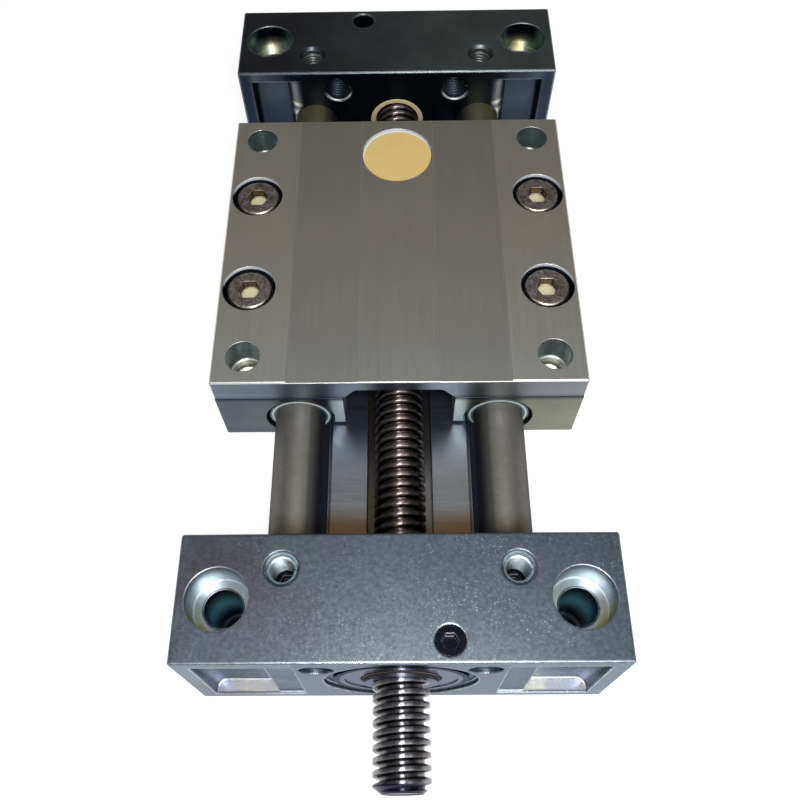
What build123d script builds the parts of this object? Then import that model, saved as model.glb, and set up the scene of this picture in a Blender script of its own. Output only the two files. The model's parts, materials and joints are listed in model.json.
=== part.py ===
from build123d import *
import math
import os

# A screw-driven linear stage. Two end blocks hold two round shafts, and a carriage
# on four plain liners is driven along them by a lead screw between the shafts.
#
# X runs across the shafts, Y along them and Z up, in millimetres. The origin lies on
# the mounting plane, midway between the end blocks. The carriage stands at its rest
# place, which is not the middle of its travel.

# Overall arrangement
block_gap = 227.6
axis_height = 29.0
shaft_spacing = 80.0
carriage_rest = 14.5

# Fits, as radial or face clearances
press_gap = 0.02
running_gap = 0.05
thread_gap = 0.1
face_gap = 0.3
edge_chamfer = 0.6

# End blocks
block_width = 150.0
block_depth = 44.1
block_height = 58.0
mount_hole_side_inset = 14.0
mount_hole_inset = 21.5
mount_hole_radius = 6.75
mount_bore_radius = 10.75
mount_bore_depth = 13.0
clamp_hole_inset = 31.8
grub_radius = 5.0
grub_mouth_radius = 6.2
lock_hole_offset = 16.0
lock_hole_mouth_radius = 5.4
flange_hole_spacing = 56.0
flange_hole_height = 48.0
flange_hole_radius = 6.0
flange_mouth_radius = 6.6

# Weight-saving pockets in the end blocks
outer_panel_inner = 35.5
outer_panel_depth = 1.2
outer_pocket_inner = 45.5
outer_pocket_outer = 69.0
outer_pocket_depth = 5.8
outer_pocket_rim = 5.0
outer_pocket_corner = 3.5
inner_pocket_shoulder = 45.5
inner_pocket_roll = 7.5
inner_pocket_outer = 69.0
inner_pocket_depth = 8.5
inner_pocket_rim = 5.0
inner_pocket_corner = 2.5
pocket_overshoot = 1.0

# Screw bearings and bushes in the end blocks
bearing_outer_radius = 23.5
bearing_width = 14.0
bearing_setback = 0.5
bearing_ring_inner = 19.8
bearing_hub_radius = 14.0
bearing_shield_thickness = 1.0
bearing_shield_setback = 0.4
relief_radius = 27.0
relief_depth = 2.0
chamber_radius = 15.0
bush_outer_radius = 13.0
bush_inner_radius = 10.5
bush_length = 12.0

# Guide shafts
shaft_radius = 10.0
shaft_grip = 36.0
shaft_chamfer = 1.0

# Base channel between the end blocks
channel_width = 57.0
channel_bottom = 1.0
channel_top = 23.4
channel_groove_width = 26.0
channel_floor_top = 11.4
channel_edge_chamfer = 1.2
channel_tongue = 14.0
channel_screw_spacing = 40.0
channel_screw_radius = 3.0
channel_screw_length = 14.0
channel_head_radius = 5.0
channel_head_height = 5.0
channel_head_bore_radius = 5.5
channel_head_bore_depth = 6.0

# Lead screw
screw_radius = 10.0
screw_end = 36.0
screw_end_chamfer = 1.5
journal_radius = 7.5
sleeve_length = 19.5
snap_ring_thickness = 1.2
snap_ring_depth = 0.5
snap_ring_radius = 12.9
snap_ring_mouth = 5.0

# Carriage plate
carriage_overhang = 32.0
carriage_length = 137.0
carriage_top = 57.5
plate_thickness = 12.5
plate_band_inner = 43.0
plate_band_step = 0.4
plate_strip_half = 15.8
plate_strip_rise = 0.15
payload_hole_offset = 20.0
payload_hole_inset = 12.0
payload_hole_radius = 6.75
housing_screw_offset = 20.0
housing_screw_y = 24.25
housing_screw_bore_radius = 10.75
housing_screw_bore_depth = 8.0
housing_screw_clear_radius = 6.5
plate_relief_bottom_width = 44.0
plate_relief_top_width = 34.0
plate_relief_height = 6.5
plate_relief_inner_round = 2.5
plate_relief_edge_round = 2.0
disc_radius = 15.0
disc_thickness = 0.9
disc_recess_depth = 1.2
disc_recess_gap = 0.6
disc_inset = 20.8

# Bearing housings under the plate
housing_inner = 22.0
housing_bottom = 16.5
lug_bottom = 25.5
housing_slot_outer = 47.0
liner_wall = 2.4
liner_length = 44.0
liner_setback = 1.0
wiper_recess_radius = 14.0
wiper_recess_depth = 4.0
payload_thread_radius = 5.1
payload_thread_depth = 24.0
payload_thread_mouth = 6.4

# Housing screws
housing_screw_radius = 6.0
housing_screw_length = 28.0
housing_head_radius = 9.0
housing_head_height = 7.0
housing_hex_flats = 8.0
housing_hex_depth = 3.5

# Screw nut and the block that holds it
nut_radius = 13.0
nut_length = 40.0
nut_flange_thickness = 6.0
nut_flange_width = 31.0
nut_flange_top = 43.4
nut_block_width = 31.0
nut_block_bottom = 25.5
nut_foot_length = 14.0
nut_foot_thickness = 7.5
foot_screw_x = 9.0
foot_screw_radius = 2.5
foot_screw_head_radius = 4.8
foot_screw_length = 11.5
flange_screw_x = 12.3
flange_screw_z = 39.9
flange_screw_radius = 2.0
flange_screw_length = 14.0
flange_screw_head_radius = 3.5
flange_screw_head_height = 4.0

# Set screws
clamp_grub_length = 8.0
clamp_seat_depth = 6.0
lock_grub_point_radius = 2.0
lock_grub_point_height = 2.6
lock_grub_length = 9.0
grub_hex_flats = 5.0
grub_hex_depth = 3.5

# Places worked out from the sizes above
overall_length = block_gap + 2 * block_depth
shaft_x = shaft_spacing / 2
mount_hole_spacing = block_width - 2 * mount_hole_side_inset
carriage_width = shaft_spacing + 2 * carriage_overhang
payload_hole_x = shaft_x + payload_hole_offset
housing_screw_x = shaft_x + housing_screw_offset
carriage_front = carriage_rest - carriage_length / 2
plate_bottom = carriage_top - plate_thickness
relief_top = plate_bottom + plate_relief_height
plate_middle_top = carriage_top - plate_band_step
plate_strip_top = plate_middle_top + plate_strip_rise
liner_outer_radius = shaft_radius + running_gap + liner_wall
bearing_seat_depth = bearing_setback + bearing_width
lock_hole_inset = bearing_setback + bearing_width / 2
housing_outer = carriage_width / 2
carriage_back = carriage_rest + carriage_length / 2
disc_y = carriage_back - disc_inset
foot_screw_pitch = nut_length + nut_foot_length
hex_factor = 1 / math.sqrt(3)

os.makedirs("parts", exist_ok=True)

outer_face = Plane(origin=(0, 0, 0), x_dir=(1, 0, 0), z_dir=(0, -1, 0))
inner_face = Plane(origin=(0, block_depth, 0), x_dir=(-1, 0, 0), z_dir=(0, 1, 0))
block_top = Plane.XY.offset(block_height)


def save(part, name):
    """Label a finished piece and write it under its node's name."""
    part.label = name
    export_step(part, f"parts/{name}.step")


def along_shafts(y):
    """A plane across the shafts at a given Y, facing the front: its y axis is Z."""
    return Plane(origin=(0, y, 0), x_dir=(1, 0, 0), z_dir=(0, -1, 0))


# End block, drawn with its outer face at Y = 0 and its inner face towards +Y.
with BuildPart() as end_block:
    with BuildSketch(Plane.XY):
        with Locations((0, block_depth / 2)):
            Rectangle(block_width, block_depth)
    extrude(amount=block_height)
    chamfer(end_block.edges(), edge_chamfer)

    # Mounting holes, and set screw holes over the shafts and over the bearing
    with Locations(block_top):
        with Locations((0, mount_hole_inset)):
            with GridLocations(mount_hole_spacing, 0, 2, 1):
                CounterBoreHole(mount_hole_radius, mount_bore_radius, mount_bore_depth)
        with Locations((0, clamp_hole_inset)):
            with GridLocations(shaft_spacing, 0, 2, 1):
                CounterSinkHole(grub_radius + press_gap, grub_mouth_radius, block_height - axis_height)
        with Locations((lock_hole_offset, lock_hole_inset)):
            CounterSinkHole(grub_radius + press_gap, lock_hole_mouth_radius, block_height - axis_height)

    # Stepped bore for the screw: relief, bearing seat, chamber and bush
    with Locations(outer_face):
        with Locations((0, axis_height)):
            Hole(bush_outer_radius + press_gap)
            Hole(chamber_radius, block_depth - bush_length)
            Hole(bearing_outer_radius + press_gap, bearing_seat_depth)
            Hole(relief_radius, relief_depth)
        with Locations((0, flange_hole_height)):
            with GridLocations(flange_hole_spacing, 0, 2, 1):
                Hole(flange_hole_radius)
    with Locations(inner_face):
        with Locations((0, flange_hole_height)):
            with GridLocations(flange_hole_spacing, 0, 2, 1):
                CounterSinkHole(flange_hole_radius, flange_mouth_radius)
        with Locations((0, axis_height)):
            with GridLocations(shaft_spacing, 0, 2, 1):
                Hole(shaft_radius + press_gap, shaft_grip)

    # Outer pockets, each with a shallow step beside the bearing pad
    with BuildSketch(Plane.XY.offset(outer_pocket_rim)) as outer_pocket:
        with BuildLine():
            Polyline(
                (outer_panel_inner, -pocket_overshoot),
                (outer_panel_inner, outer_panel_depth),
                (outer_pocket_inner, outer_panel_depth),
                (outer_pocket_inner, outer_pocket_depth),
                (outer_pocket_outer, outer_pocket_depth),
                (outer_pocket_outer, -pocket_overshoot),
                close=True,
            )
        make_face()
        fillet(outer_pocket.vertices().group_by(Axis.Y)[-1], outer_pocket_corner)
        mirror(about=Plane.YZ)
    extrude(amount=block_height - 2 * outer_pocket_rim, mode=Mode.SUBTRACT)

    # Inner pockets, whose shoulder rolls over from the face in a quarter round
    with BuildSketch(Plane.XY.offset(inner_pocket_rim)) as inner_pocket:
        with BuildLine():
            shoulder = Line(
                (inner_pocket_shoulder, block_depth + pocket_overshoot),
                (inner_pocket_shoulder, block_depth),
            )
            roll = RadiusArc(
                shoulder @ 1,
                (inner_pocket_shoulder + inner_pocket_roll, block_depth - inner_pocket_roll),
                inner_pocket_roll,
            )
            floor_start = (inner_pocket_shoulder + inner_pocket_roll, block_depth - inner_pocket_depth)
            Polyline(
                roll @ 1,
                floor_start,
                (inner_pocket_outer, block_depth - inner_pocket_depth),
                (inner_pocket_outer, block_depth + pocket_overshoot),
                shoulder @ 0,
            )
        make_face()
        fillet(
            inner_pocket.vertices().group_by(Axis.Y)[0].sort_by(Axis.X)[-1], inner_pocket_corner
        )
        mirror(about=Plane.YZ)
    extrude(amount=block_height - 2 * inner_pocket_rim, mode=Mode.SUBTRACT)

    # Rebate in the underside for the tongue of the base channel, with its tapped holes
    with BuildSketch(Plane.XY):
        with Locations((0, block_depth - channel_tongue / 2)):
            Rectangle(channel_width + 2 * face_gap, channel_tongue + 2 * face_gap)
    extrude(amount=channel_floor_top, mode=Mode.SUBTRACT)
    with BuildSketch(Plane.XY.offset(channel_floor_top)):
        with Locations((0, block_depth - channel_tongue / 2)):
            with GridLocations(channel_screw_spacing, 0, 2, 1):
                Circle(channel_screw_radius + press_gap)
    extrude(
        amount=channel_screw_length + channel_bottom + channel_head_bore_depth - channel_floor_top,
        mode=Mode.SUBTRACT,
    )

# Bearing of the screw: an outer ring that carries both shields, and an inner ring
with BuildPart() as bearing_outer_ring:
    with BuildSketch(Plane.YZ):
        with Locations((bearing_setback + bearing_width / 2, axis_height)):
            with Locations((0, (bearing_ring_inner + bearing_outer_radius) / 2)):
                Rectangle(bearing_width, bearing_outer_radius - bearing_ring_inner)
            shield_reach = bearing_ring_inner - bearing_hub_radius - face_gap
            shield_pitch = bearing_width - 2 * bearing_shield_setback - bearing_shield_thickness
            with Locations((0, bearing_hub_radius + face_gap + shield_reach / 2)):
                with GridLocations(shield_pitch, 0, 2, 1):
                    Rectangle(bearing_shield_thickness, shield_reach)
    revolve(axis=Axis((0, 0, axis_height), (0, 1, 0)))

with BuildPart() as bearing_inner_ring:
    with BuildSketch(outer_face.offset(-bearing_setback)):
        with Locations((0, axis_height)):
            Circle(bearing_hub_radius)
            Circle(screw_radius + press_gap, mode=Mode.SUBTRACT)
    extrude(amount=-bearing_width)
    chamfer(bearing_inner_ring.edges().filter_by(GeomType.CIRCLE), edge_chamfer / 2)

# Bush at the inner end of the bore, flush with the inner face
with BuildPart() as screw_bush:
    with BuildSketch(inner_face):
        with Locations((0, axis_height)):
            Circle(bush_outer_radius)
            Circle(bush_inner_radius, mode=Mode.SUBTRACT)
    extrude(amount=-bush_length)
    chamfer(screw_bush.edges().filter_by(GeomType.CIRCLE), edge_chamfer / 2)

# Set screws that hold the shafts, each sunk into a seat in its shaft
clamp_seat_z = axis_height + shaft_radius - clamp_seat_depth
with BuildPart() as shaft_clamp_screws:
    with BuildSketch(Plane.XY.offset(clamp_seat_z)):
        with Locations((0, clamp_hole_inset)):
            with GridLocations(shaft_spacing, 0, 2, 1):
                Circle(grub_radius)
    extrude(amount=clamp_grub_length)
    chamfer(shaft_clamp_screws.edges().filter_by(GeomType.CIRCLE), edge_chamfer)
    with BuildSketch(Plane.XY.offset(clamp_seat_z + clamp_grub_length)):
        with Locations((0, clamp_hole_inset)):
            with GridLocations(shaft_spacing, 0, 2, 1):
                RegularPolygon(grub_hex_flats * hex_factor, 6)
    extrude(amount=-grub_hex_depth, mode=Mode.SUBTRACT)

# Cone-point set screw that locks the bearing's outer ring from above
lock_touch_x = lock_hole_offset - lock_grub_point_radius
lock_point_z = axis_height + math.sqrt(bearing_outer_radius**2 - lock_touch_x**2)
lock_shank_z = lock_point_z + lock_grub_point_height
lock_top_z = lock_point_z + lock_grub_length
with BuildPart() as bearing_lock_screw:
    with BuildSketch(Plane.XY.offset(lock_point_z)):
        with Locations((lock_hole_offset, lock_hole_inset)):
            Circle(lock_grub_point_radius)
    with BuildSketch(Plane.XY.offset(lock_shank_z)):
        with Locations((lock_hole_offset, lock_hole_inset)):
            Circle(grub_radius)
    loft()
    with BuildSketch(Plane.XY.offset(lock_shank_z)):
        with Locations((lock_hole_offset, lock_hole_inset)):
            Circle(grub_radius)
    extrude(amount=lock_top_z - lock_shank_z)
    with BuildSketch(Plane.XY.offset(lock_top_z)):
        with Locations((lock_hole_offset, lock_hole_inset)):
            RegularPolygon(grub_hex_flats * hex_factor, 6)
    extrude(amount=-grub_hex_depth, mode=Mode.SUBTRACT)

# The two ends are the same assembly, turned half round about the vertical
end_places = {
    "front": Location((0, -overall_length / 2, 0)),
    "rear": Location((0, overall_length / 2, 0), (0, 0, 180)),
}
end_pieces = {
    "end_block": end_block,
    "bearing_outer_ring": bearing_outer_ring,
    "bearing_inner_ring": bearing_inner_ring,
    "screw_bush": screw_bush,
    "shaft_clamp_screws": shaft_clamp_screws,
    "bearing_lock_screw": bearing_lock_screw,
}
for end, place in end_places.items():
    for piece_name, piece in end_pieces.items():
        with BuildPart() as placed:
            with Locations(place):
                add(piece.part)
        save(placed.part, f"{end}_{piece_name}")

# Guide shafts, gripped in blind bores, with a seat for the set screw near each end
clamp_pitch = overall_length - 2 * clamp_hole_inset
for side, sign in (("left", -1), ("right", 1)):
    with BuildPart() as guide_shaft:
        with BuildSketch(along_shafts(block_gap / 2 + shaft_grip)):
            with Locations((sign * shaft_x, axis_height)):
                Circle(shaft_radius)
        extrude(amount=block_gap + 2 * shaft_grip)
        chamfer(guide_shaft.edges().filter_by(GeomType.CIRCLE), shaft_chamfer)
        with Locations(Plane.XY.offset(axis_height + shaft_radius)):
            with Locations((sign * shaft_x, 0)):
                with GridLocations(0, clamp_pitch, 1, 2):
                    Hole(grub_radius + press_gap, clamp_seat_depth)
    save(guide_shaft.part, f"{side}_guide_shaft")

# Base channel: a grooved bar between the blocks, with a tongue under each of them
channel_end = block_gap / 2 - face_gap
tongue_end = block_gap / 2 + channel_tongue
with BuildPart() as base_channel:
    with BuildSketch(along_shafts(channel_end)) as channel_section:
        with BuildLine():
            half = channel_width / 2
            groove = channel_groove_width / 2
            Polyline(
                (-half, channel_bottom),
                (half, channel_bottom),
                (half, channel_top - channel_edge_chamfer),
                (half - channel_edge_chamfer, channel_top),
                (groove, channel_top),
                (groove, channel_floor_top),
                (-groove, channel_floor_top),
                (-groove, channel_top),
                (channel_edge_chamfer - half, channel_top),
                (-half, channel_top - channel_edge_chamfer),
                close=True,
            )
        make_face()
    extrude(amount=2 * channel_end)
    with BuildSketch(along_shafts(tongue_end)):
        with Locations((0, (channel_bottom + channel_floor_top - press_gap) / 2)):
            Rectangle(channel_width, channel_floor_top - press_gap - channel_bottom)
    extrude(amount=2 * tongue_end)
    with BuildSketch(Plane.XY.offset(channel_bottom)):
        with GridLocations(channel_screw_spacing, 2 * tongue_end - channel_tongue, 2, 2):
            Circle(channel_screw_radius + press_gap)
    extrude(amount=channel_floor_top, mode=Mode.SUBTRACT)
    with BuildSketch(Plane.XY.offset(channel_bottom)):
        with GridLocations(channel_screw_spacing, 2 * tongue_end - channel_tongue, 2, 2):
            Circle(channel_head_bore_radius)
    extrude(amount=channel_head_bore_depth, mode=Mode.SUBTRACT)
save(base_channel.part, "base_channel")

with BuildPart() as base_channel_screws:
    head_seat = channel_bottom + channel_head_bore_depth
    with BuildSketch(Plane.XY.offset(head_seat)):
        with GridLocations(channel_screw_spacing, 2 * tongue_end - channel_tongue, 2, 2):
            Circle(channel_head_radius)
    extrude(amount=-channel_head_height)
    with BuildSketch(Plane.XY.offset(head_seat)):
        with GridLocations(channel_screw_spacing, 2 * tongue_end - channel_tongue, 2, 2):
            Circle(channel_screw_radius)
    extrude(amount=channel_screw_length - face_gap)
    with BuildSketch(Plane.XY.offset(head_seat - channel_head_height)):
        with GridLocations(channel_screw_spacing, 2 * tongue_end - channel_tongue, 2, 2):
            RegularPolygon(grub_hex_flats * hex_factor, 6)
    extrude(amount=grub_hex_depth, mode=Mode.SUBTRACT)
save(base_channel_screws.part, "base_channel_screws")

# Lead screw: full diameter up to the rear block, then a journal for the sleeve
screw_tip = -overall_length / 2 - screw_end
journal_end = overall_length / 2 - bearing_setback
shoulder_y = journal_end - sleeve_length
front_bearing_y = -overall_length / 2 + bearing_setback
snap_ring_places = (front_bearing_y, front_bearing_y + bearing_width + snap_ring_thickness)
with BuildPart() as lead_screw:
    with BuildSketch(along_shafts(shoulder_y)):
        with Locations((0, axis_height)):
            Circle(screw_radius)
    extrude(amount=shoulder_y - screw_tip)
    chamfer(lead_screw.faces().sort_by(Axis.Y)[0].edges(), screw_end_chamfer)
    with BuildSketch(along_shafts(journal_end)):
        with Locations((0, axis_height)):
            Circle(journal_radius)
    extrude(amount=journal_end - shoulder_y)
    # Grooves for the two snap rings that hold the screw in the front bearing
    for ring_y in snap_ring_places:
        with BuildSketch(along_shafts(ring_y)):
            with Locations((0, axis_height)):
                Circle(screw_radius)
                Circle(screw_radius - snap_ring_depth, mode=Mode.SUBTRACT)
        extrude(amount=snap_ring_thickness, mode=Mode.SUBTRACT)
save(lead_screw.part, "lead_screw")

with BuildPart() as front_snap_rings:
    for ring_y in snap_ring_places:
        with BuildSketch(along_shafts(ring_y)):
            with Locations((0, axis_height)):
                Circle(snap_ring_radius)
                Circle(screw_radius - snap_ring_depth + press_gap, mode=Mode.SUBTRACT)
                with Locations((0, -snap_ring_radius)):
                    Rectangle(snap_ring_mouth, snap_ring_radius, mode=Mode.SUBTRACT)
        extrude(amount=snap_ring_thickness)
save(front_snap_rings.part, "front_snap_rings")

with BuildPart() as rear_journal_sleeve:
    with BuildSketch(along_shafts(journal_end)):
        with Locations((0, axis_height)):
            Circle(screw_radius)
            Circle(journal_radius + press_gap, mode=Mode.SUBTRACT)
    extrude(amount=sleeve_length)
save(rear_journal_sleeve.part, "rear_journal_sleeve")

# Carriage plate
with BuildPart() as carriage_plate:
    with BuildSketch(Plane.XY.offset(plate_bottom)):
        with Locations((0, carriage_rest)):
            Rectangle(carriage_width, carriage_length)
    extrude(amount=plate_thickness)
    chamfer(carriage_plate.edges(), edge_chamfer)
    # Lowered middle band between the two bearing bands, with a faint strip along its centre
    with BuildSketch(Plane.XY.offset(carriage_top)):
        with Locations((0, carriage_rest)):
            Rectangle(2 * plate_band_inner, carriage_length)
            Rectangle(2 * plate_strip_half, carriage_length, mode=Mode.SUBTRACT)
    extrude(amount=-plate_band_step, mode=Mode.SUBTRACT)
    with BuildSketch(Plane.XY.offset(carriage_top)):
        with Locations((0, carriage_rest)):
            Rectangle(2 * plate_strip_half, carriage_length)
    extrude(amount=plate_strip_rise - plate_band_step, mode=Mode.SUBTRACT)
    # Relief along the underside for the nut block
    with BuildSketch(along_shafts(carriage_back)) as relief_section:
        with BuildLine():
            low = plate_relief_bottom_width / 2
            high = plate_relief_top_width / 2
            Polyline(
                (-low, plate_bottom),
                (low, plate_bottom),
                (high, relief_top),
                (-high, relief_top),
                close=True,
            )
        make_face()
        fillet(relief_section.vertices().group_by(Axis.Y)[-1], plate_relief_inner_round)
    extrude(amount=carriage_length, mode=Mode.SUBTRACT)
    relief_edges = carriage_plate.edges().filter_by(Axis.Y).filter_by_position(
        Axis.Z, plate_bottom, plate_bottom
    )
    fillet(relief_edges.sort_by(lambda edge: abs(edge.center().X))[:2], plate_relief_edge_round)
    # Tapped holes for the feet of the nut block, and the recess for the disc
    with BuildSketch(Plane.XY.offset(relief_top)):
        with Locations((0, carriage_rest)):
            with GridLocations(2 * foot_screw_x, foot_screw_pitch, 2, 2):
                Circle(foot_screw_radius + press_gap)
    extrude(amount=foot_screw_length + face_gap - nut_foot_thickness, mode=Mode.SUBTRACT)
    with BuildSketch(Plane.XY.offset(plate_strip_top)):
        with Locations((0, disc_y)):
            Circle(disc_radius + disc_recess_gap)
    extrude(amount=-disc_recess_depth, mode=Mode.SUBTRACT)
    with Locations(Plane.XY.offset(carriage_top)):
        with Locations((0, carriage_rest)):
            with GridLocations(2 * payload_hole_x, carriage_length - 2 * payload_hole_inset, 2, 2):
                Hole(payload_hole_radius)
            with GridLocations(2 * housing_screw_x, 2 * housing_screw_y, 2, 2):
                CounterBoreHole(
                    housing_screw_clear_radius, housing_screw_bore_radius, housing_screw_bore_depth
                )
save(carriage_plate.part, "carriage_plate")

with BuildPart() as marker_disc:
    with BuildSketch(Plane.XY.offset(plate_strip_top - disc_recess_depth)):
        with Locations((0, disc_y)):
            Circle(disc_radius)
    extrude(amount=disc_thickness)
save(marker_disc.part, "marker_disc")

# Low-head screws that hold the plate on the bearing housings
housing_head_seat = carriage_top - housing_screw_bore_depth
with BuildPart() as housing_screws:
    with BuildSketch(Plane.XY.offset(housing_head_seat)):
        with Locations((0, carriage_rest)):
            with GridLocations(2 * housing_screw_x, 2 * housing_screw_y, 2, 2):
                Circle(housing_head_radius)
    extrude(amount=housing_head_height)
    chamfer(housing_screws.faces().sort_by(Axis.Z)[-4:].edges(), edge_chamfer)
    with BuildSketch(Plane.XY.offset(housing_head_seat)):
        with Locations((0, carriage_rest)):
            with GridLocations(2 * housing_screw_x, 2 * housing_screw_y, 2, 2):
                Circle(housing_screw_radius)
    extrude(amount=-housing_screw_length)
    with BuildSketch(Plane.XY.offset(housing_head_seat + housing_head_height)):
        with Locations((0, carriage_rest)):
            with GridLocations(2 * housing_screw_x, 2 * housing_screw_y, 2, 2):
                RegularPolygon(housing_hex_flats * hex_factor, 6)
    extrude(amount=-housing_hex_depth, mode=Mode.SUBTRACT)
save(housing_screws.part, "housing_screws")

# Bearing housings, open below: the lug reaches round the inner side of the liners
thread_end = housing_head_seat - housing_screw_length - face_gap
for side, sign in (("left", -1), ("right", 1)):
    with BuildPart() as bearing_housing:
        with BuildSketch(along_shafts(carriage_back)):
            with BuildLine():
                Polyline(
                    (sign * housing_inner, plate_bottom),
                    (sign * housing_outer, plate_bottom),
                    (sign * housing_outer, housing_bottom + edge_chamfer),
                    (sign * (housing_outer - edge_chamfer), housing_bottom),
                    (sign * housing_slot_outer, housing_bottom),
                    (sign * housing_slot_outer, lug_bottom),
                    (sign * housing_inner, lug_bottom),
                    close=True,
                )
            make_face()
            with Locations((sign * shaft_x, axis_height)):
                Circle(liner_outer_radius + press_gap, mode=Mode.SUBTRACT)
        extrude(amount=carriage_length)
        # Wiper recesses round the liners at both ends
        for recess_y in (carriage_back, carriage_front + wiper_recess_depth):
            with BuildSketch(along_shafts(recess_y)):
                with Locations((sign * shaft_x, axis_height)):
                    Circle(wiper_recess_radius)
            extrude(amount=wiper_recess_depth, mode=Mode.SUBTRACT)
        with Locations(Plane.XY.offset(plate_bottom)):
            with Locations((sign * payload_hole_x, carriage_rest)):
                with GridLocations(0, carriage_length - 2 * payload_hole_inset, 1, 2):
                    CounterSinkHole(payload_thread_radius, payload_thread_mouth, payload_thread_depth)
            with Locations((sign * housing_screw_x, carriage_rest)):
                with GridLocations(0, 2 * housing_screw_y, 1, 2):
                    Hole(housing_screw_radius + press_gap, plate_bottom - thread_end)
    save(bearing_housing.part, f"{side}_bearing_housing")

    liner_starts = {
        "front": carriage_front + liner_setback + liner_length,
        "rear": carriage_back - liner_setback,
    }
    for end, liner_y in liner_starts.items():
        with BuildPart() as liner:
            with BuildSketch(along_shafts(liner_y)):
                with Locations((sign * shaft_x, axis_height)):
                    Circle(liner_outer_radius)
                    Circle(shaft_radius + running_gap, mode=Mode.SUBTRACT)
            extrude(amount=liner_length)
        save(liner.part, f"{end}_{side}_liner")

# Block that hangs the screw nut from the plate, with a foot at either end
nut_back = carriage_rest + nut_length / 2
foot_bottom = relief_top - nut_foot_thickness
with BuildPart() as nut_block:
    with BuildSketch(Plane.XY.offset(nut_block_bottom)):
        with Locations((0, carriage_rest)):
            Rectangle(nut_block_width, nut_length)
    extrude(amount=relief_top - nut_block_bottom)
    with BuildSketch(Plane.XY.offset(foot_bottom)):
        with Locations((0, carriage_rest)):
            Rectangle(nut_block_width, nut_length + 2 * nut_foot_length)
    extrude(amount=nut_foot_thickness)
    with Locations(along_shafts(nut_back)):
        with Locations((0, axis_height)):
            Hole(nut_radius + press_gap)
    with BuildSketch(along_shafts(nut_back)):
        with Locations((0, flange_screw_z)):
            with GridLocations(2 * flange_screw_x, 0, 2, 1):
                Circle(flange_screw_radius + press_gap)
    extrude(amount=flange_screw_length - nut_flange_thickness, mode=Mode.SUBTRACT)
    with Locations(Plane(origin=(0, carriage_rest, foot_bottom), z_dir=(0, 0, -1))):
        with GridLocations(2 * foot_screw_x, foot_screw_pitch, 2, 2):
            CounterSinkHole(
                foot_screw_radius + press_gap, foot_screw_head_radius + press_gap, nut_foot_thickness
            )
save(nut_block.part, "nut_block")

with BuildPart() as nut_block_screws:
    with Locations(Plane.XY.offset(foot_bottom)):
        with Locations((0, carriage_rest)):
            with GridLocations(2 * foot_screw_x, foot_screw_pitch, 2, 2):
                Cylinder(foot_screw_radius, foot_screw_length, align=(Align.CENTER, Align.CENTER, Align.MIN))
                Cone(
                    foot_screw_head_radius,
                    foot_screw_radius,
                    foot_screw_head_radius - foot_screw_radius,
                    align=(Align.CENTER, Align.CENTER, Align.MIN),
                )
save(nut_block_screws.part, "nut_block_screws")

# Screw nut with a flange that is cut flat below to clear the base channel
with BuildPart() as screw_nut:
    with BuildSketch(along_shafts(nut_back)):
        with Locations((0, axis_height)):
            Circle(nut_radius)
    extrude(amount=nut_length)
    with BuildSketch(along_shafts(nut_back + nut_flange_thickness)):
        with Locations((0, axis_height)):
            Circle(nut_radius)
        with Locations((0, (nut_block_bottom + nut_flange_top) / 2)):
            Rectangle(nut_flange_width, nut_flange_top - nut_block_bottom)
        with Locations((0, flange_screw_z)):
            with GridLocations(2 * flange_screw_x, 0, 2, 1):
                Circle(flange_screw_radius + press_gap, mode=Mode.SUBTRACT)
    extrude(amount=nut_flange_thickness)
    with BuildSketch(along_shafts(nut_back + nut_flange_thickness)):
        with Locations((0, axis_height)):
            Circle(screw_radius + thread_gap)
    extrude(amount=nut_flange_thickness + nut_length, mode=Mode.SUBTRACT)
save(screw_nut.part, "screw_nut")

flange_head_seat = nut_back + nut_flange_thickness
with BuildPart() as nut_flange_screws:
    with BuildSketch(along_shafts(flange_head_seat)):
        with Locations((0, flange_screw_z)):
            with GridLocations(2 * flange_screw_x, 0, 2, 1):
                Circle(flange_screw_radius)
    extrude(amount=flange_screw_length)
    with BuildSketch(along_shafts(flange_head_seat + flange_screw_head_height)):
        with Locations((0, flange_screw_z)):
            with GridLocations(2 * flange_screw_x, 0, 2, 1):
                Circle(flange_screw_head_radius)
    extrude(amount=flange_screw_head_height)
save(nut_flange_screws.part, "nut_flange_screws")
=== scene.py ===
import json
import math

import bpy
from mathutils import Matrix, Vector


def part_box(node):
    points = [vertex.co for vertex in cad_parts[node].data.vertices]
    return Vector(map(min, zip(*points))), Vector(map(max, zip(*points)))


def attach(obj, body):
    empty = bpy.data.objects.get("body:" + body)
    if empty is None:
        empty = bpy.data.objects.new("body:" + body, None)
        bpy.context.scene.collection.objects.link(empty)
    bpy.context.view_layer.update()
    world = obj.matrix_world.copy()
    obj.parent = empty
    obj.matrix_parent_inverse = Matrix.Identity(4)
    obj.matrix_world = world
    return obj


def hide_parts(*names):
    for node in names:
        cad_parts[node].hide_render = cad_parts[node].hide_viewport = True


bl_info = {
    "name": "Lead screw stage",
    "version": (1, 0, 0),
    "blender": (4, 5, 0),
    "location": "View3D > Sidebar > Stage",
    "description": "Dresses the packed lead screw stage with threads, finishes and a studio",
    "category": "Object",
}

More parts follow.
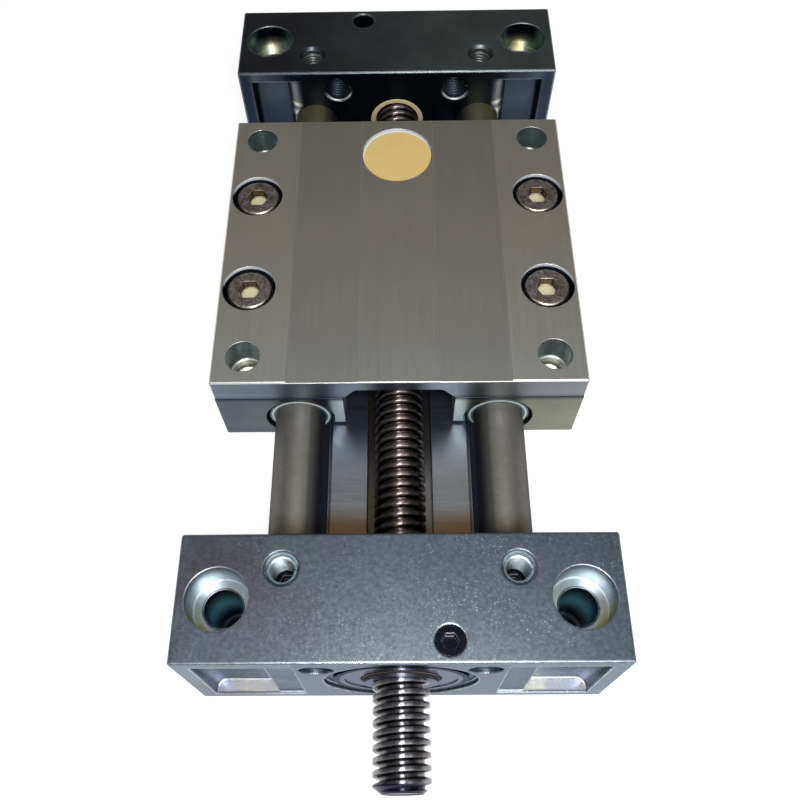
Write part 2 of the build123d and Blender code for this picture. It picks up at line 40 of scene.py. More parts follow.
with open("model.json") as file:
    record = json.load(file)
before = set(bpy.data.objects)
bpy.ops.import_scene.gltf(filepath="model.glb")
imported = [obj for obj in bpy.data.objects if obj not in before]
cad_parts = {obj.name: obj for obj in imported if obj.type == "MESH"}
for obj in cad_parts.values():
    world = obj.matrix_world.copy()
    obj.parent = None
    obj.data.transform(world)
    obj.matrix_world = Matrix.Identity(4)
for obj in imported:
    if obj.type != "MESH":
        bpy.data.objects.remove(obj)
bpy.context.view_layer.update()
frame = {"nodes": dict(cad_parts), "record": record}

MM = 0.001
screw_low, screw_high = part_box("lead_screw")
block_low, block_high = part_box("front_end_block")
plate_low, plate_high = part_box("carriage_plate")
clamp_low, clamp_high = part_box("front_shaft_clamp_screws")
mounts = {mount["name"]: mount for mount in frame["record"]["mounts"]}

# Sizes and places from the frame, on the +X side where there is a pair
screw_height = (screw_low.z + screw_high.z) / 2
screw_radius = screw_high.x
clamp_x = clamp_high.x - (clamp_high.y - clamp_low.y) / 2
clamp_y = -(clamp_high.y + clamp_low.y) / 2
mount_x = mounts["base_mounting_holes"]["dims"]["spacing_x_mm"] / 2 * MM
mount_y = mounts["base_mounting_holes"]["dims"]["spacing_y_mm"] / 2 * MM
bracket_x = mounts["front_bracket_holes"]["dims"]["spacing_x_mm"] / 2 * MM
bracket_z = mounts["front_bracket_holes"]["pos_m"][2]
channel_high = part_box("base_channel")[1]
liner_low, liner_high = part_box("front_right_liner")
liner_radius = (liner_high.x - liner_low.x) / 2
disc_low, disc_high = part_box("marker_disc")
disc_radius = (disc_high.x - disc_low.x) / 2
disc_x = (disc_high.x + disc_low.x) / 2
disc_y = (disc_high.y + disc_low.y) / 2
head_low, head_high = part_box("housing_screws")
head_radius = 9 * MM
head_x = head_high.x - head_radius
head_y = (head_high.y - head_low.y) / 2 - head_radius
payload_x = mounts["carriage_payload_holes"]["dims"]["spacing_x_mm"] / 2 * MM
payload_y = mounts["carriage_payload_holes"]["dims"]["spacing_y_mm"] / 2 * MM
payload_centre = mounts["carriage_payload_holes"]["pos_m"][1]

# How far from its axis each kind of hole keeps its own finish
counterbore_reach = 11 * MM
mount_reach = 7.2 * MM
clamp_reach = 6.2 * MM
bracket_reach = 7 * MM
payload_reach = 7.2 * MM
socket_reach = 6.1 * MM

# The studio's tint, and where a direction's Y turns from the back sky to the front one
SKY_TINT = (0.97, 1.0, 1.04)
SKY_TURN = (0.25, -0.6)

# How bright each sky is at each height, as (sine of the elevation, brightness)
BACK_SKY = (
    (0.0, 0.7),
    (0.10, 0.5),
    (0.22, 0.16),
    (0.40, 0.05),
    (0.60, 0.06),
    (0.78, 0.17),
    (0.90, 0.28),
    (1.0, 0.40),
)
FRONT_SKY = ((0.0, 0.7), (0.2, 0.55), (0.5, 0.5), (0.9, 0.45), (1.0, 0.40))


# Settings


def amount(name, description, value, **kind):
    return bpy.props.FloatProperty(name=name, description=description, default=value, **kind)


def length(name, description, millimetres):
    return amount(name, description, millimetres * MM, unit="LENGTH")


def spot(name, description, x, y, z):
    return bpy.props.FloatVectorProperty(
        name=name, description=description, default=(x, y, z), subtype="XYZ_LENGTH", unit="LENGTH"
    )


def colour(name, description, red, green, blue):
    return bpy.props.FloatVectorProperty(
        name=name, description=description, default=(red, green, blue), subtype="COLOR", min=0, max=1
    )


class ThreadSettings(bpy.types.PropertyGroup):
    """Sizes of the screw's thread and of the threads in the tapped holes."""

    screw_pitch: length("Screw pitch", "Travel of the carriage for one turn of the lead screw", 4)
    screw_depth: length("Screw thread depth", "From the crest of the screw's thread to its root", 2.25)
    screw_crest: length("Screw crest width", "Width of the flat crest of the screw's thread", 1.70)
    tip_chamfer: length("Tip chamfer", "Chamfer on the lead screw's front end", 2)
    journal_radius: length("Journal radius", "Radius of the screw's turned-down rear end", 7.5)
    journal_length: length("Journal length", "Length of the screw's turned-down rear end", 19.5)
    clamp_pitch: length("Clamp hole pitch", "Pitch of the threads over the guide shafts", 1.5)
    clamp_radius: length("Clamp hole radius", "Radius of the threaded holes over the guide shafts", 5.02)
    clamp_length: length("Clamp thread length", "Length of the threads over the guide shafts", 15.5)
    bracket_pitch: length("Bracket hole pitch", "Pitch of the threads in the bracket holes", 1.75)
    bracket_radius: length("Bracket hole radius", "Radius of the end blocks' bracket holes", 6)
    bracket_length: length("Bracket thread length", "Length of the threads in the bracket holes", 41.5)
    payload_pitch: length("Payload hole pitch", "Pitch of the threads under the corner holes", 1.75)
    payload_radius: length("Payload hole radius", "Radius of the threads under the corner holes", 5.1)
    payload_length: length("Payload thread length", "Length of the threads under the corner holes", 20)
    payload_start: length("Payload thread start", "Height of the lowest turn under the corner holes", 23.5)


class FormSettings(bpy.types.PropertyGroup):
    """Where the finishes change on the end blocks and on the plate."""

    panel_inner: length("Panel start", "From the middle to the shallow step in a block's outer face", 35.5)
    outer_edge: length("Pocket end", "From the middle to the outer edge of the block's pockets", 69)
    rim: length("Pocket rim", "Height of the rim under and over a block's pockets", 5)
    shoulder: length("Shoulder", "From the middle to the rolled shoulder of a block's inner pocket", 45.5)
    bearing_ring: length("Bearing ring", "From the bearing's axis to its dark outer ring", 21.4)
    plate_band: length("Plate band", "From the middle to the raised bands of the carriage plate", 43)
    plate_strip: length("Plate strip", "From the middle to the edge of the plate's centre strip", 15.8)


class FinishSettings(bpy.types.PropertyGroup):
    """Colours of the metals and plastics, and of the light and shade painted onto them."""

    zinc: colour("Zinc plating", "Plating of the end blocks", 0.195, 0.230, 0.275)
    zinc_teal: colour("Zinc teal", "Greenish clouds in the plating", 0.145, 0.215, 0.225)
    zinc_violet: colour("Zinc violet", "Warm clouds in the plating", 0.150, 0.140, 0.160)
    # Painted highlight on the rounded shoulders of the inner pockets
    shoulder_highlight: colour("Zinc shoulders", "Silvery shoulders of the inner pockets", 0.30, 0.31, 0.31)
    # Painted shade: the rear block darkened as the dark reflection of the room, darker on its left
    rear_left_shade: colour("Rear block, left", "Plating of the rear block's left part", 0.095, 0.095, 0.100)
    rear_right_shade: colour("Rear block, right", "Plating of the rear block's right part", 0.225, 0.250, 0.235)
    # Painted highlight: glints, lit rims and lit edges, and partly the bare metal of worn edges
    glint_and_wear: colour("Zinc bright", "Crystals and rubbed edges", 0.66, 0.70, 0.74)
    # Painted light on the walls of the counterbores
    bore_light: colour("Zinc in bores", "Plating inside the front block's bores", 0.33, 0.40, 0.385)
    # Painted light on the far walls of the tapped holes over the shafts
    tapped_light: colour("Zinc in tapped holes", "Plating in the holes over the shafts", 0.52, 0.62, 0.64)
    # Painted highlight: glints in the bores and pocket floors, a crescent low in the through holes and the
    # rims of the screw heads
    lavender_glint: colour("Zinc lavender", "Lavender glints in the bores and pockets", 0.60, 0.60, 0.68)
    zinc_yellow: colour("Zinc yellow", "Yellow cast at the mouths of the bores", 0.42, 0.40, 0.16)
    zinc_rim: colour("Zinc rims", "Blue cast at the mouths of the bores", 0.17, 0.23, 0.27)
    # Painted light: lit pocket floors, glints in the inner pockets, the rear bores' lit lower walls and
    # the lit mouths of the carriage's tapped holes
    pale_light: colour("Zinc pale", "Floors of the outer pockets", 0.80, 0.78, 0.64)
    # Painted shade on the pads beside the front bearing and in clouds on the pocket walls
    pad_shade: colour("Zinc pads", "Pads beside the front bearing", 0.115, 0.130, 0.160)
    # Painted light: the lit teal band in the through holes
    hole_teal_light: colour("Zinc deep", "Teal plating deep in the holes", 0.240, 0.620, 0.800)
    # Painted shade: dark navy on the blocks' inner sides and pocket walls, the recess round the bearing,
    # the plate's foot, the housings' tops and the floor
    navy_shade: colour("Zinc navy", "Dull plating on the inner sides and pocket walls", 0.012, 0.021, 0.044)
    plate: colour("Plate", "Brushed top of the carriage plate", 0.640, 0.580, 0.490)
    plate_front: colour("Plate, front", "Cooler front part of the plate's top", 0.560, 0.565, 0.530)
    plate_hole: colour("Plate holes", "Walls of the plate's corner holes", 0.360, 0.430, 0.480)
    # Partly worn bare metal and partly painted highlight: edges of the plate and screw heads, the plate's
    # step lines and the disc's crescent
    edge_wear_and_glint: colour("Bare edges", "Rubbed edges of the plate and of the screw heads", 0.80, 0.79, 0.78)
    # Painted shade: the plate's sides darker than its top
    plate_side: colour("Plate sides", "Sawn sides of the carriage plate", 0.145, 0.178, 0.220)
    # Painted light: the plate's sides lighter towards the right
    plate_side_lit_right: colour("Plate sides, right", "Warmer right part of the sides", 0.250, 0.255, 0.255)
    # Painted shade: the left housing darker and bluer, the right one lighter and olive as painted light
    housing: colour("Left housing", "Blue plating of the left housing", 0.062, 0.075, 0.105)
    housing_lit_olive: colour("Right housing", "Olive plating of the right housing", 0.215, 0.215, 0.165)
    housing_cloud: colour("Housing clouds", "Clouds on the bearing housings", 0.120, 0.135, 0.130)
    housing_lug: colour("Housing lugs", "Paler inner lugs of the bearing housings", 0.460, 0.510, 0.450)
    shaft: colour("Shafts", "Ground surface of the guide shafts", 0.295, 0.278, 0.252)
    # Painted shade on the sides of the shafts
    shaft_side_shade: colour("Shaft sides", "Darker sides of the guide shafts", 0.050, 0.052, 0.065)
    # Brown by the front block: partly stains, partly painted reflection of the block
    shaft_stain_and_reflection: colour("Shaft film, front", "Brown film beside the front block", 0.110, 0.075, 0.035)
    # Painted reflection: olive on the shafts near the rear block
    shaft_rear_reflection: colour("Shaft film", "Olive film on the shafts near the rear block", 0.320, 0.285, 0.130)
    channel: colour("Channel", "Brushed top of the base channel", 0.335, 0.335, 0.355)
    # Painted shade on the channel under the carriage
    channel_shade_blue: colour("Channel, rear", "Bluer channel under the carriage", 0.080, 0.105, 0.150)
    # Painted shadow of the screw in the channel's groove
    groove_shadow: colour("Channel groove", "Olive walls of the channel's groove", 0.140, 0.120, 0.070)
    # Painted reflection of the front block on the channel
    channel_block_reflection: colour("Channel, front", "Brown channel beside the front block", 0.210, 0.120, 0.045)
    # Painted light on the channel's right half
    channel_lit_right: colour("Channel, right", "Brighter right half of the channel", 0.380, 0.385, 0.380)
    screw: colour("Screw crests", "Rolled crests of the lead screw", 0.270, 0.225, 0.215)
    screw_stub: colour("Screw stub", "Darker crests where the nut doesn't reach", 0.250, 0.240, 0.255)
    # Painted shade on the flanks of the thread
    flank_shade: colour("Screw flanks", "Oiled flanks of the lead screw", 0.012, 0.012, 0.012)
    screw_tip: colour("Screw tip", "Dark turned tip of the lead screw", 0.025, 0.024, 0.045)
    screw_oil: colour("Screw oil", "Brown oil on the lead screw", 0.150, 0.105, 0.060)
    fastener: colour("Fasteners", "Heads of the large screws", 0.560, 0.485, 0.420)
    fastener_dark: colour("Fastener clouds", "Brown clouds on the large screws", 0.300, 0.240, 0.190)
    # Painted glint on the floors of the large screws' sockets
    socket_floor_glint: colour("Socket floors", "Bright floors of the large screws' sockets", 0.860, 0.800, 0.520)
    # Black oxide; on the bearings' outer rings it is painted shadow
    oxide: colour("Black oxide", "Set screws and dark rings of the bearings", 0.012, 0.014, 0.020)
    # Painted glint on the rims of the set screws
    oxide_edge_glint: colour("Oxide edges", "Rubbed edges of the set screws", 0.620, 0.640, 0.660)
    shield: colour("Bearing steel", "Shields of the bearings, and snap rings", 0.290, 0.292, 0.315)
    hub: colour("Bearing hub", "Inner rings of the bearings", 0.130, 0.120, 0.105)
    # Clouds on the inner rings; on the sockets' walls it is painted shade
    hub_dark: colour("Bearing hub, dark", "Clouds on inner rings, walls of sockets", 0.060, 0.045, 0.030)
    nut_block: colour("Nut block", "Block that carries the screw nut", 0.50, 0.50, 0.50)
    bronze: colour("Bronze", "Screw nut", 0.62, 0.44, 0.20)
    bronze_dark: colour("Bronze, dark", "Dark clouds on the screw nut", 0.50, 0.33, 0.16)
    bush: colour("Bush", "Yellow bushes round the screw", 0.560, 0.480, 0.240)
    liner: colour("Liner", "Pale ring of the liners round the shafts", 0.560, 0.640, 0.600)
    # Painted shade on the liners' edges
    liner_edge_shade: colour("Liner edges", "Dark edges of the liners", 0.060, 0.090, 0.105)
    disc: colour("Disc", "Yellow disc in the plate", 0.680, 0.500, 0.185)
    disc_warm: colour("Disc, warm", "Warm clouds on the yellow disc", 0.690, 0.470, 0.175)


class StudioSettings(bpy.types.PropertyGroup):
    """Camera, lamps and floor."""

    camera_place: spot("Camera place", "Where the photograph was taken from", 0.00054, -0.21242, 0.33179)
    camera_target: spot("Camera target", "Point that the camera looks at", -0.00321, -0.03637, 0)
    camera_roll: amount(
        "Camera roll", "Turn of the camera about its line of sight", math.radians(-1.561), subtype="ANGLE"
    )
    lens: amount("Lens", "Focal length on a 36 mm sensor", 37.825)
    shift_x: amount("Shift X", "Sideways shift of the picture", 0.0098)
    shift_y: amount("Shift Y", "Upward shift of the picture", 0.0156)
    floor_glow: amount("Floor glow", "How much the floor is whitened where it is seen", 0.78)
    floor_paint: amount("Floor paint", "How pale the floor itself is", 0.4, min=0, max=1)
    flash_place: spot("Flash place", "Place of the small lamp above the camera", 0.01, -0.25, 0.40)
    flash_size: amount("Flash size", "Side of the small lamp", 0.10, unit="LENGTH")
    flash_power: amount("Flash power", "Power of the small lamp", 1.4, unit="POWER")
    lamp_place: spot("Lamp place", "Place of the soft lamp in front", 0.45, -0.9, 0.9)
    lamp_size: amount("Lamp size", "Side of the soft lamp", 0.7, unit="LENGTH")
    lamp_power: amount("Lamp power", "Power of the soft lamp", 6.0, unit="POWER")


# Modelling helpers


def deselect():
    """Leave edit mode and select nothing."""
    if bpy.context.object and bpy.context.object.mode != "OBJECT":
        bpy.ops.object.mode_set(mode="OBJECT")
    bpy.ops.object.select_all(action="DESELECT")


def pick(*pieces):
    """Select these pieces alone; the first one is active."""
    deselect()
    for piece in pieces:
        piece.select_set(True)
    bpy.context.view_layer.objects.active = pieces[0]


def open_mesh():
    """Enter edit mode with the whole mesh selected."""
    bpy.ops.object.mode_set(mode="EDIT")
    bpy.ops.mesh.select_all(action="SELECT")


def close_mesh():
    """Go back to object mode."""
    bpy.ops.object.mode_set(mode="OBJECT")


def settle(piece):
    """Write the piece's place, turn and scale into its mesh."""
    pick(piece)
    bpy.ops.object.transform_apply(location=True, rotation=True, scale=True)


def apply_all(piece):
    """Apply every modifier of a piece, in order."""
    pick(piece)
    for modifier in list(piece.modifiers):
        bpy.ops.object.modifier_apply(modifier=modifier.name)


def smooth(piece, angle):
    """Shade smooth, with sharp edges past an angle in degrees."""
    pick(piece)
    bpy.ops.object.shade_smooth_by_angle(angle=math.radians(angle))


def chain(name, points):
    """A run of vertices through (radius, along) points in the XZ plane, extruded one by one."""
    deselect()
    bpy.ops.mesh.primitive_circle_add(vertices=3, radius=MM)
    piece = bpy.context.object
    piece.name = name
    open_mesh()
    bpy.ops.mesh.merge(type="CENTER")
    radius, along = points[0]
    bpy.ops.transform.translate(value=(radius, 0, along))
    for (from_radius, from_along), (to_radius, to_along) in zip(points, points[1:]):
        bpy.ops.mesh.extrude_region_move(
            TRANSFORM_OT_translate={"value": (to_radius - from_radius, 0, to_along - from_along)}
        )
    close_mesh()
    return piece


def wind(piece, pitch, turns, steps):
    """Wind a profile round Z, one pitch up for each turn, right-handed."""
    winding = piece.modifiers.new("winding", "SCREW")
    winding.axis = "Z"
    winding.angle = math.tau
    winding.screw_offset = pitch
    winding.iterations = turns
    winding.steps = steps
    winding.render_steps = steps
    winding.use_merge_vertices = False
    apply_all(piece)
    open_mesh()
    bpy.ops.mesh.remove_doubles(threshold=0.002 * MM)
    bpy.ops.mesh.normals_make_consistent(inside=False)
    close_mesh()


def turned(name, stations, segments):
    """A closed solid of revolution about Z through (radius, height) stations, from the bottom up."""
    deselect()
    radius, height = stations[0]
    bpy.ops.mesh.primitive_circle_add(
        vertices=segments, radius=radius, fill_type="NGON", location=(0, 0, height)
    )
    piece = bpy.context.object
    piece.name = name
    settle(piece)
    open_mesh()
    for (from_radius, from_height), (to_radius, to_height) in zip(stations, stations[1:]):
        bpy.ops.mesh.extrude_region_move(
            TRANSFORM_OT_translate={"value": (0, 0, to_height - from_height)}
        )
        growth = to_radius / from_radius
        bpy.ops.transform.resize(value=(growth, growth, 1), center_override=(0, 0, to_height))
    bpy.ops.mesh.select_all(action="SELECT")
    bpy.ops.mesh.normals_make_consistent(inside=False)
    close_mesh()
    return piece


def keep_inside(piece, tool):
    """Keep what lies inside a closed tool, which is used up."""
    shaping = piece.modifiers.new("shaping", "BOOLEAN")
    shaping.operation = "INTERSECT"
    shaping.solver = "EXACT"
    shaping.object = tool
    apply_all(piece)
    bpy.data.objects.remove(tool)


def trim_along_z(piece, low, high):
    """Cut a coil off flat at two heights and close both ends."""
    pick(piece)
    bpy.ops.object.mode_set(mode="EDIT")
    for height, keep_above in ((low, True), (high, False)):
        bpy.ops.mesh.select_all(action="SELECT")
        bpy.ops.mesh.bisect(
            plane_co=(0, 0, height),
            plane_no=(0, 0, 1),
            use_fill=True,
            clear_inner=keep_above,
            clear_outer=not keep_above,
        )
    close_mesh()


# Materials


class Finish:
    """One material, built node by node."""

    def __init__(self, name):
        self.material = bpy.data.materials.new(name)
        self.material.use_nodes = True
        self.tree = self.material.node_tree
        self.shader = self.tree.nodes["Principled BSDF"]
        self.spot = self.add("ShaderNodeTexCoord").outputs["Object"]
        apart = self.add("ShaderNodeSeparateXYZ", Vector=self.spot)
        self.x, self.y, self.z = apart.outputs
        self.aside = self.maths("ABSOLUTE", self.x)
        self.along = self.maths("ABSOLUTE", self.y)
        self.normal = self.add("ShaderNodeNewGeometry").outputs["Normal"]
        facing = self.add("ShaderNodeSeparateXYZ", Vector=self.normal)
        self.facing_x, self.facing_y, self.facing_z = facing.outputs

    def add(self, kind, settings=None, **inputs):
        """A new node; an input is a value or another node's output."""
        node = self.tree.nodes.new(kind)
        for key, value in (settings or {}).items():
            setattr(node, key, value)
        for key, value in inputs.items():
            self.feed(node.inputs[key.replace("_", " ")], value)
        return node

    def feed(self, socket, value):
        """Link an output to a socket, or set the socket's value."""
        if isinstance(value, bpy.types.NodeSocket):
            self.tree.links.new(value, socket)
        elif socket.type == "RGBA":
            socket.default_value = (*value, 1)
        else:
            socket.default_value = value

    def maths(self, operation, first, second=0.0):
        """Arithmetic on values or outputs."""
        node = self.add("ShaderNodeMath", {"operation": operation})
        self.feed(node.inputs[0], first)
        self.feed(node.inputs[1], second)
        return node.outputs[0]

    def times(self, first, *others):
        """The product of values or outputs."""
        for other in others:
            first = self.maths("MULTIPLY", first, other)
        return first

    def noise(self, scale, detail=3.0, rough=0.55, stretch=(1, 1, 1), shift=(0, 0, 0)):
        """Noise from 0 to 1; scale is in features per metre."""
        mapping = self.add(
            "ShaderNodeMapping", Vector=self.spot, Location=shift, Scale=[scale * part for part in stretch]
        )
        node = self.add(
            "ShaderNodeTexNoise", Vector=mapping.outputs[0], Scale=1, Detail=detail, Roughness=rough
        )
        return node.outputs["Fac"]

    def dots(self, scale, share):
        """Soft round dots, one in each of a share of the cells; scale is in cells per metre."""
        mapping = self.add("ShaderNodeMapping", Vector=self.spot, Scale=[scale] * 3)
        cells = self.add("ShaderNodeTexVoronoi", Vector=mapping.outputs[0], Scale=1)
        chance = self.add("ShaderNodeSeparateColor", Color=cells.outputs["Color"]).outputs[0]
        return self.times(
            self.span(cells.outputs["Distance"], 0.45, 0.15), self.span(chance, 1 - share, 1 - share / 2)
        )

    def span(self, value, low, high, to_low=0.0, to_high=1.0):
        """Map a value's range onto another one."""
        node = self.add("ShaderNodeMapRange", Value=value)
        ranges = {"From Min": low, "From Max": high, "To Min": to_low, "To Max": to_high}
        for key, limit in ranges.items():
            node.inputs[key].default_value = limit
        return node.outputs["Result"]

    def clouds(self, scale, low=0.42, high=0.62, most=1.0, detail=4, shift=(0, 0, 0)):
        """Soft patches, from 0 up to most, where a noise rises from one level to another."""
        return self.span(self.noise(scale, detail, shift=shift), low, high, 0, most)

    def below(self, value, limit, blur=0.2 * MM):
        """1 below a limit, and 0 from a blur above it."""
        return self.span(value, limit + blur, limit)

    def within(self, value, low, high, blur=0.2 * MM):
        """1 between two limits and 0 beyond them."""
        return self.times(
            self.span(value, low - blur, low + blur), self.span(value, high + blur, high - blur)
        )

    def inverse(self, mask):
        """0 where a mask is 1, and 1 where it is 0."""
        return self.maths("SUBTRACT", 1.0, mask)

    def mix(self, factor, first, second, blend="MIX"):
        """Mix two colours."""
        # The colours of a Mix node are its inputs 6 and 7 and its output 2
        node = self.add("ShaderNodeMix", {"data_type": "RGBA", "blend_type": blend})
        for socket, value in ((0, factor), (6, first), (7, second)):
            self.feed(node.inputs[socket], value)
        return node.outputs[2]

    def scaled(self, shade, level):
        """A colour made darker or lighter by a factor."""
        grey = self.add("ShaderNodeCombineColor", Red=level, Green=level, Blue=level)
        return self.mix(1.0, shade, grey.outputs[0], "MULTIPLY")

    def shades(self, shade, value, darkest, lightest):
        """A colour made darker and lighter along a noise."""
        return self.scaled(shade, self.span(value, 0.3, 0.7, darkest, lightest))

    def distance(self, first, second, first_centre, second_centre):
        """How far a point lies from an axis, from its two coordinates across the axis."""
        first = self.maths("SUBTRACT", first, first_centre)
        second = self.maths("SUBTRACT", second, second_centre)
        square = self.maths("ADD", self.times(first, first), self.times(second, second))
        return self.maths("SQRT", square)

    def from_screw(self):
        """How far a point lies from the lead screw's axis."""
        return self.distance(self.x, self.z, 0.0, screw_height)

    def from_plate_hole(self, x, y):
        """How far a point lies from the nearest of four holes round the carriage's middle."""
        along = self.maths("ABSOLUTE", self.maths("SUBTRACT", self.y, payload_centre))
        return self.distance(self.aside, along, x, y)

    def rounded(self, radius):
        """Round the edges in the shading; gives the soft normal and a mask of the edges."""
        soft = self.add("ShaderNodeBevel", {"samples": 6}, Radius=radius).outputs[0]
        match = self.add("ShaderNodeVectorMath", {"operation": "DOT_PRODUCT"})
        self.feed(match.inputs[0], soft)
        self.feed(match.inputs[1], self.normal)
        return soft, self.span(match.outputs["Value"], 0.995, 0.85)

    def bump(self, height, distance, normal=None):
        """Relief from a height from 0 to 1."""
        node = self.add("ShaderNodeBump", Height=height, Distance=distance)
        if normal:
            self.feed(node.inputs["Normal"], normal)
        self.feed(self.shader.inputs["Normal"], node.outputs[0])

    def paint(self, shade, roughness, metallic=1.0, grazing=(1, 1, 1)):
        """Set the shader's colour, roughness, metal, and tint at grazing angles."""
        self.feed(self.shader.inputs["Base Color"], shade)
        self.feed(self.shader.inputs["Roughness"], roughness)
        self.feed(self.shader.inputs["Metallic"], metallic)
        self.shader.inputs["Specular Tint"].default_value = (*grazing, 1)

    def coat(self, shade, grain, roughness, relief, soft=None, metallic=1.0, grazing=(1, 1, 1)):
        """Paint with roughness and relief that follow a grain; the relief is in millimetres."""
        self.paint(shade, self.span(grain, 0.3, 0.7, *roughness), metallic, grazing)
        self.bump(grain, relief * MM, soft)
        return self.material


finishes = {}


def dress(finish, *pieces):
    """Give CAD nodes, by name, or pieces one of the finishes."""
    for piece in pieces:
        piece = frame["nodes"][piece] if isinstance(piece, str) else piece
        piece.data.materials.clear()
        piece.data.materials.append(finishes[finish])


class BlockFinish(Finish):
    """The end blocks' finish, with the masks that its places share."""

    def __init__(self):
        super().__init__("block_plating")
        self.front = self.span(self.y, 20 * MM, -20 * MM)
        self.rear = self.span(self.y, -20 * MM, 20 * MM)
        self.outer_depth = self.maths("SUBTRACT", -block_low.y, self.along)
        self.from_mount = self.distance(self.aside, self.along, mount_x, mount_y)
        self.from_clamp = self.distance(self.aside, self.along, clamp_x, clamp_y)
        self.from_bracket = self.distance(self.aside, self.z, bracket_x, bracket_z)
        below_top = self.below(self.z, block_high.z - 0.6 * MM, 0.3 * MM)
        self.counterbore = self.times(self.below(self.from_mount, counterbore_reach), below_top)
        self.hole = self.times(self.below(self.from_mount, mount_reach, 0.3 * MM), below_top)
        # Height band of the painted teal light in the through holes
        self.teal = self.within(self.z, 22 * MM, 38 * MM, 6 * MM)
        under_mouth = self.below(self.z, block_high.z - 1.4 * MM, 0.3 * MM)
        front_wall = self.times(self.span(self.facing_y, 0.0, -0.4), self.front)
        self.tapped = self.times(
            self.below(self.from_clamp, clamp_reach, 0.1 * MM),
            below_top,
            self.maths("MAXIMUM", under_mouth, front_wall),
        )


def block_zinc(zinc, fine, colours):
    """Satin zinc with clouds, and crystals partly painted as glints, on the front block; plainer and
    darker on the rear one, as painted shade.
    """
    shade = zinc.mix(zinc.clouds(24, 0.42, 0.70, 0.8), colours.zinc, colours.zinc_teal)
    left = zinc.span(zinc.x, 0.0, -60 * MM)
    warm = zinc.times(zinc.clouds(18, 0.40, 0.60, 0.9, shift=(3, 1, 2)), left)
    shade = zinc.mix(warm, shade, colours.zinc_violet)
    shade = zinc.scaled(shade, zinc.span(zinc.x, 0.0, 70 * MM, 1.0, 0.8))
    shade = zinc.shades(shade, fine, 0.92, 1.10)
    # Bright crystals, partly the plating's own and partly painted glints: thickest towards the right,
    # faint on the rear block
    crystal_glints = zinc.maths("MAXIMUM", zinc.dots(1700, 0.34), zinc.times(zinc.dots(1000, 0.14), 0.9))
    patches = zinc.span(zinc.noise(60, 3, shift=(1, 8, 3)), 0.42, 0.60, 0.05, 1)
    crystal_glints = zinc.times(crystal_glints, patches, zinc.span(zinc.x, -60 * MM, 10 * MM, 0.25, 1.0))
    crystal_glints = zinc.times(crystal_glints, zinc.span(zinc.y, -20 * MM, 20 * MM, 0.75, 0.05))
    shade = zinc.mix(crystal_glints, shade, colours.glint_and_wear)
    # Painted shade over the whole rear block, darker towards the left
    rear_shade = zinc.mix(zinc.span(zinc.x, -50 * MM, 30 * MM), colours.rear_left_shade, colours.rear_right_shade)
    return zinc.mix(zinc.rear, shade, zinc.shades(rear_shade, zinc.noise(40, 4), 0.8, 1.2))


def outer_face(zinc, shade, colours, forms):
    """Pads beside the bearing darkened as painted shade, and pockets with painted light on their floors
    and painted shade on their walls.
    """
    # Painted shade on the upright pads of the outer face
    face = zinc.span(zinc.facing_z, 0.5, 0.3)
    near_face = zinc.below(zinc.outer_depth, 7 * MM, 1 * MM)
    pad = zinc.times(near_face, face, zinc.below(zinc.aside, forms.panel_inner))
    shade = zinc.mix(zinc.times(pad, 0.85), shade, colours.pad_shade)
    in_pocket = zinc.times(
        zinc.span(zinc.outer_depth, 0.8 * MM, 1.4 * MM),
        near_face,
        zinc.within(zinc.aside, forms.panel_inner - 0.1 * MM, forms.outer_edge + 0.1 * MM),
        zinc.within(zinc.z, forms.rim - 0.1 * MM, block_high.z - forms.rim + 0.1 * MM),
    )
    # Painted light on the pockets' upward floors, painted shade on their walls
    floors = zinc.mix(zinc.clouds(110, 0.4, 0.6, detail=3), colours.pale_light, colours.lavender_glint)
    wall_shade_clouds = zinc.clouds(70, 0.35, 0.85, detail=2, shift=(5, 5, 5))
    walls = zinc.mix(wall_shade_clouds, colours.navy_shade, colours.pad_shade)
    up = zinc.span(zinc.facing_z, 0.4, 0.6)
    return zinc.mix(in_pocket, shade, zinc.mix(up, walls, floors))


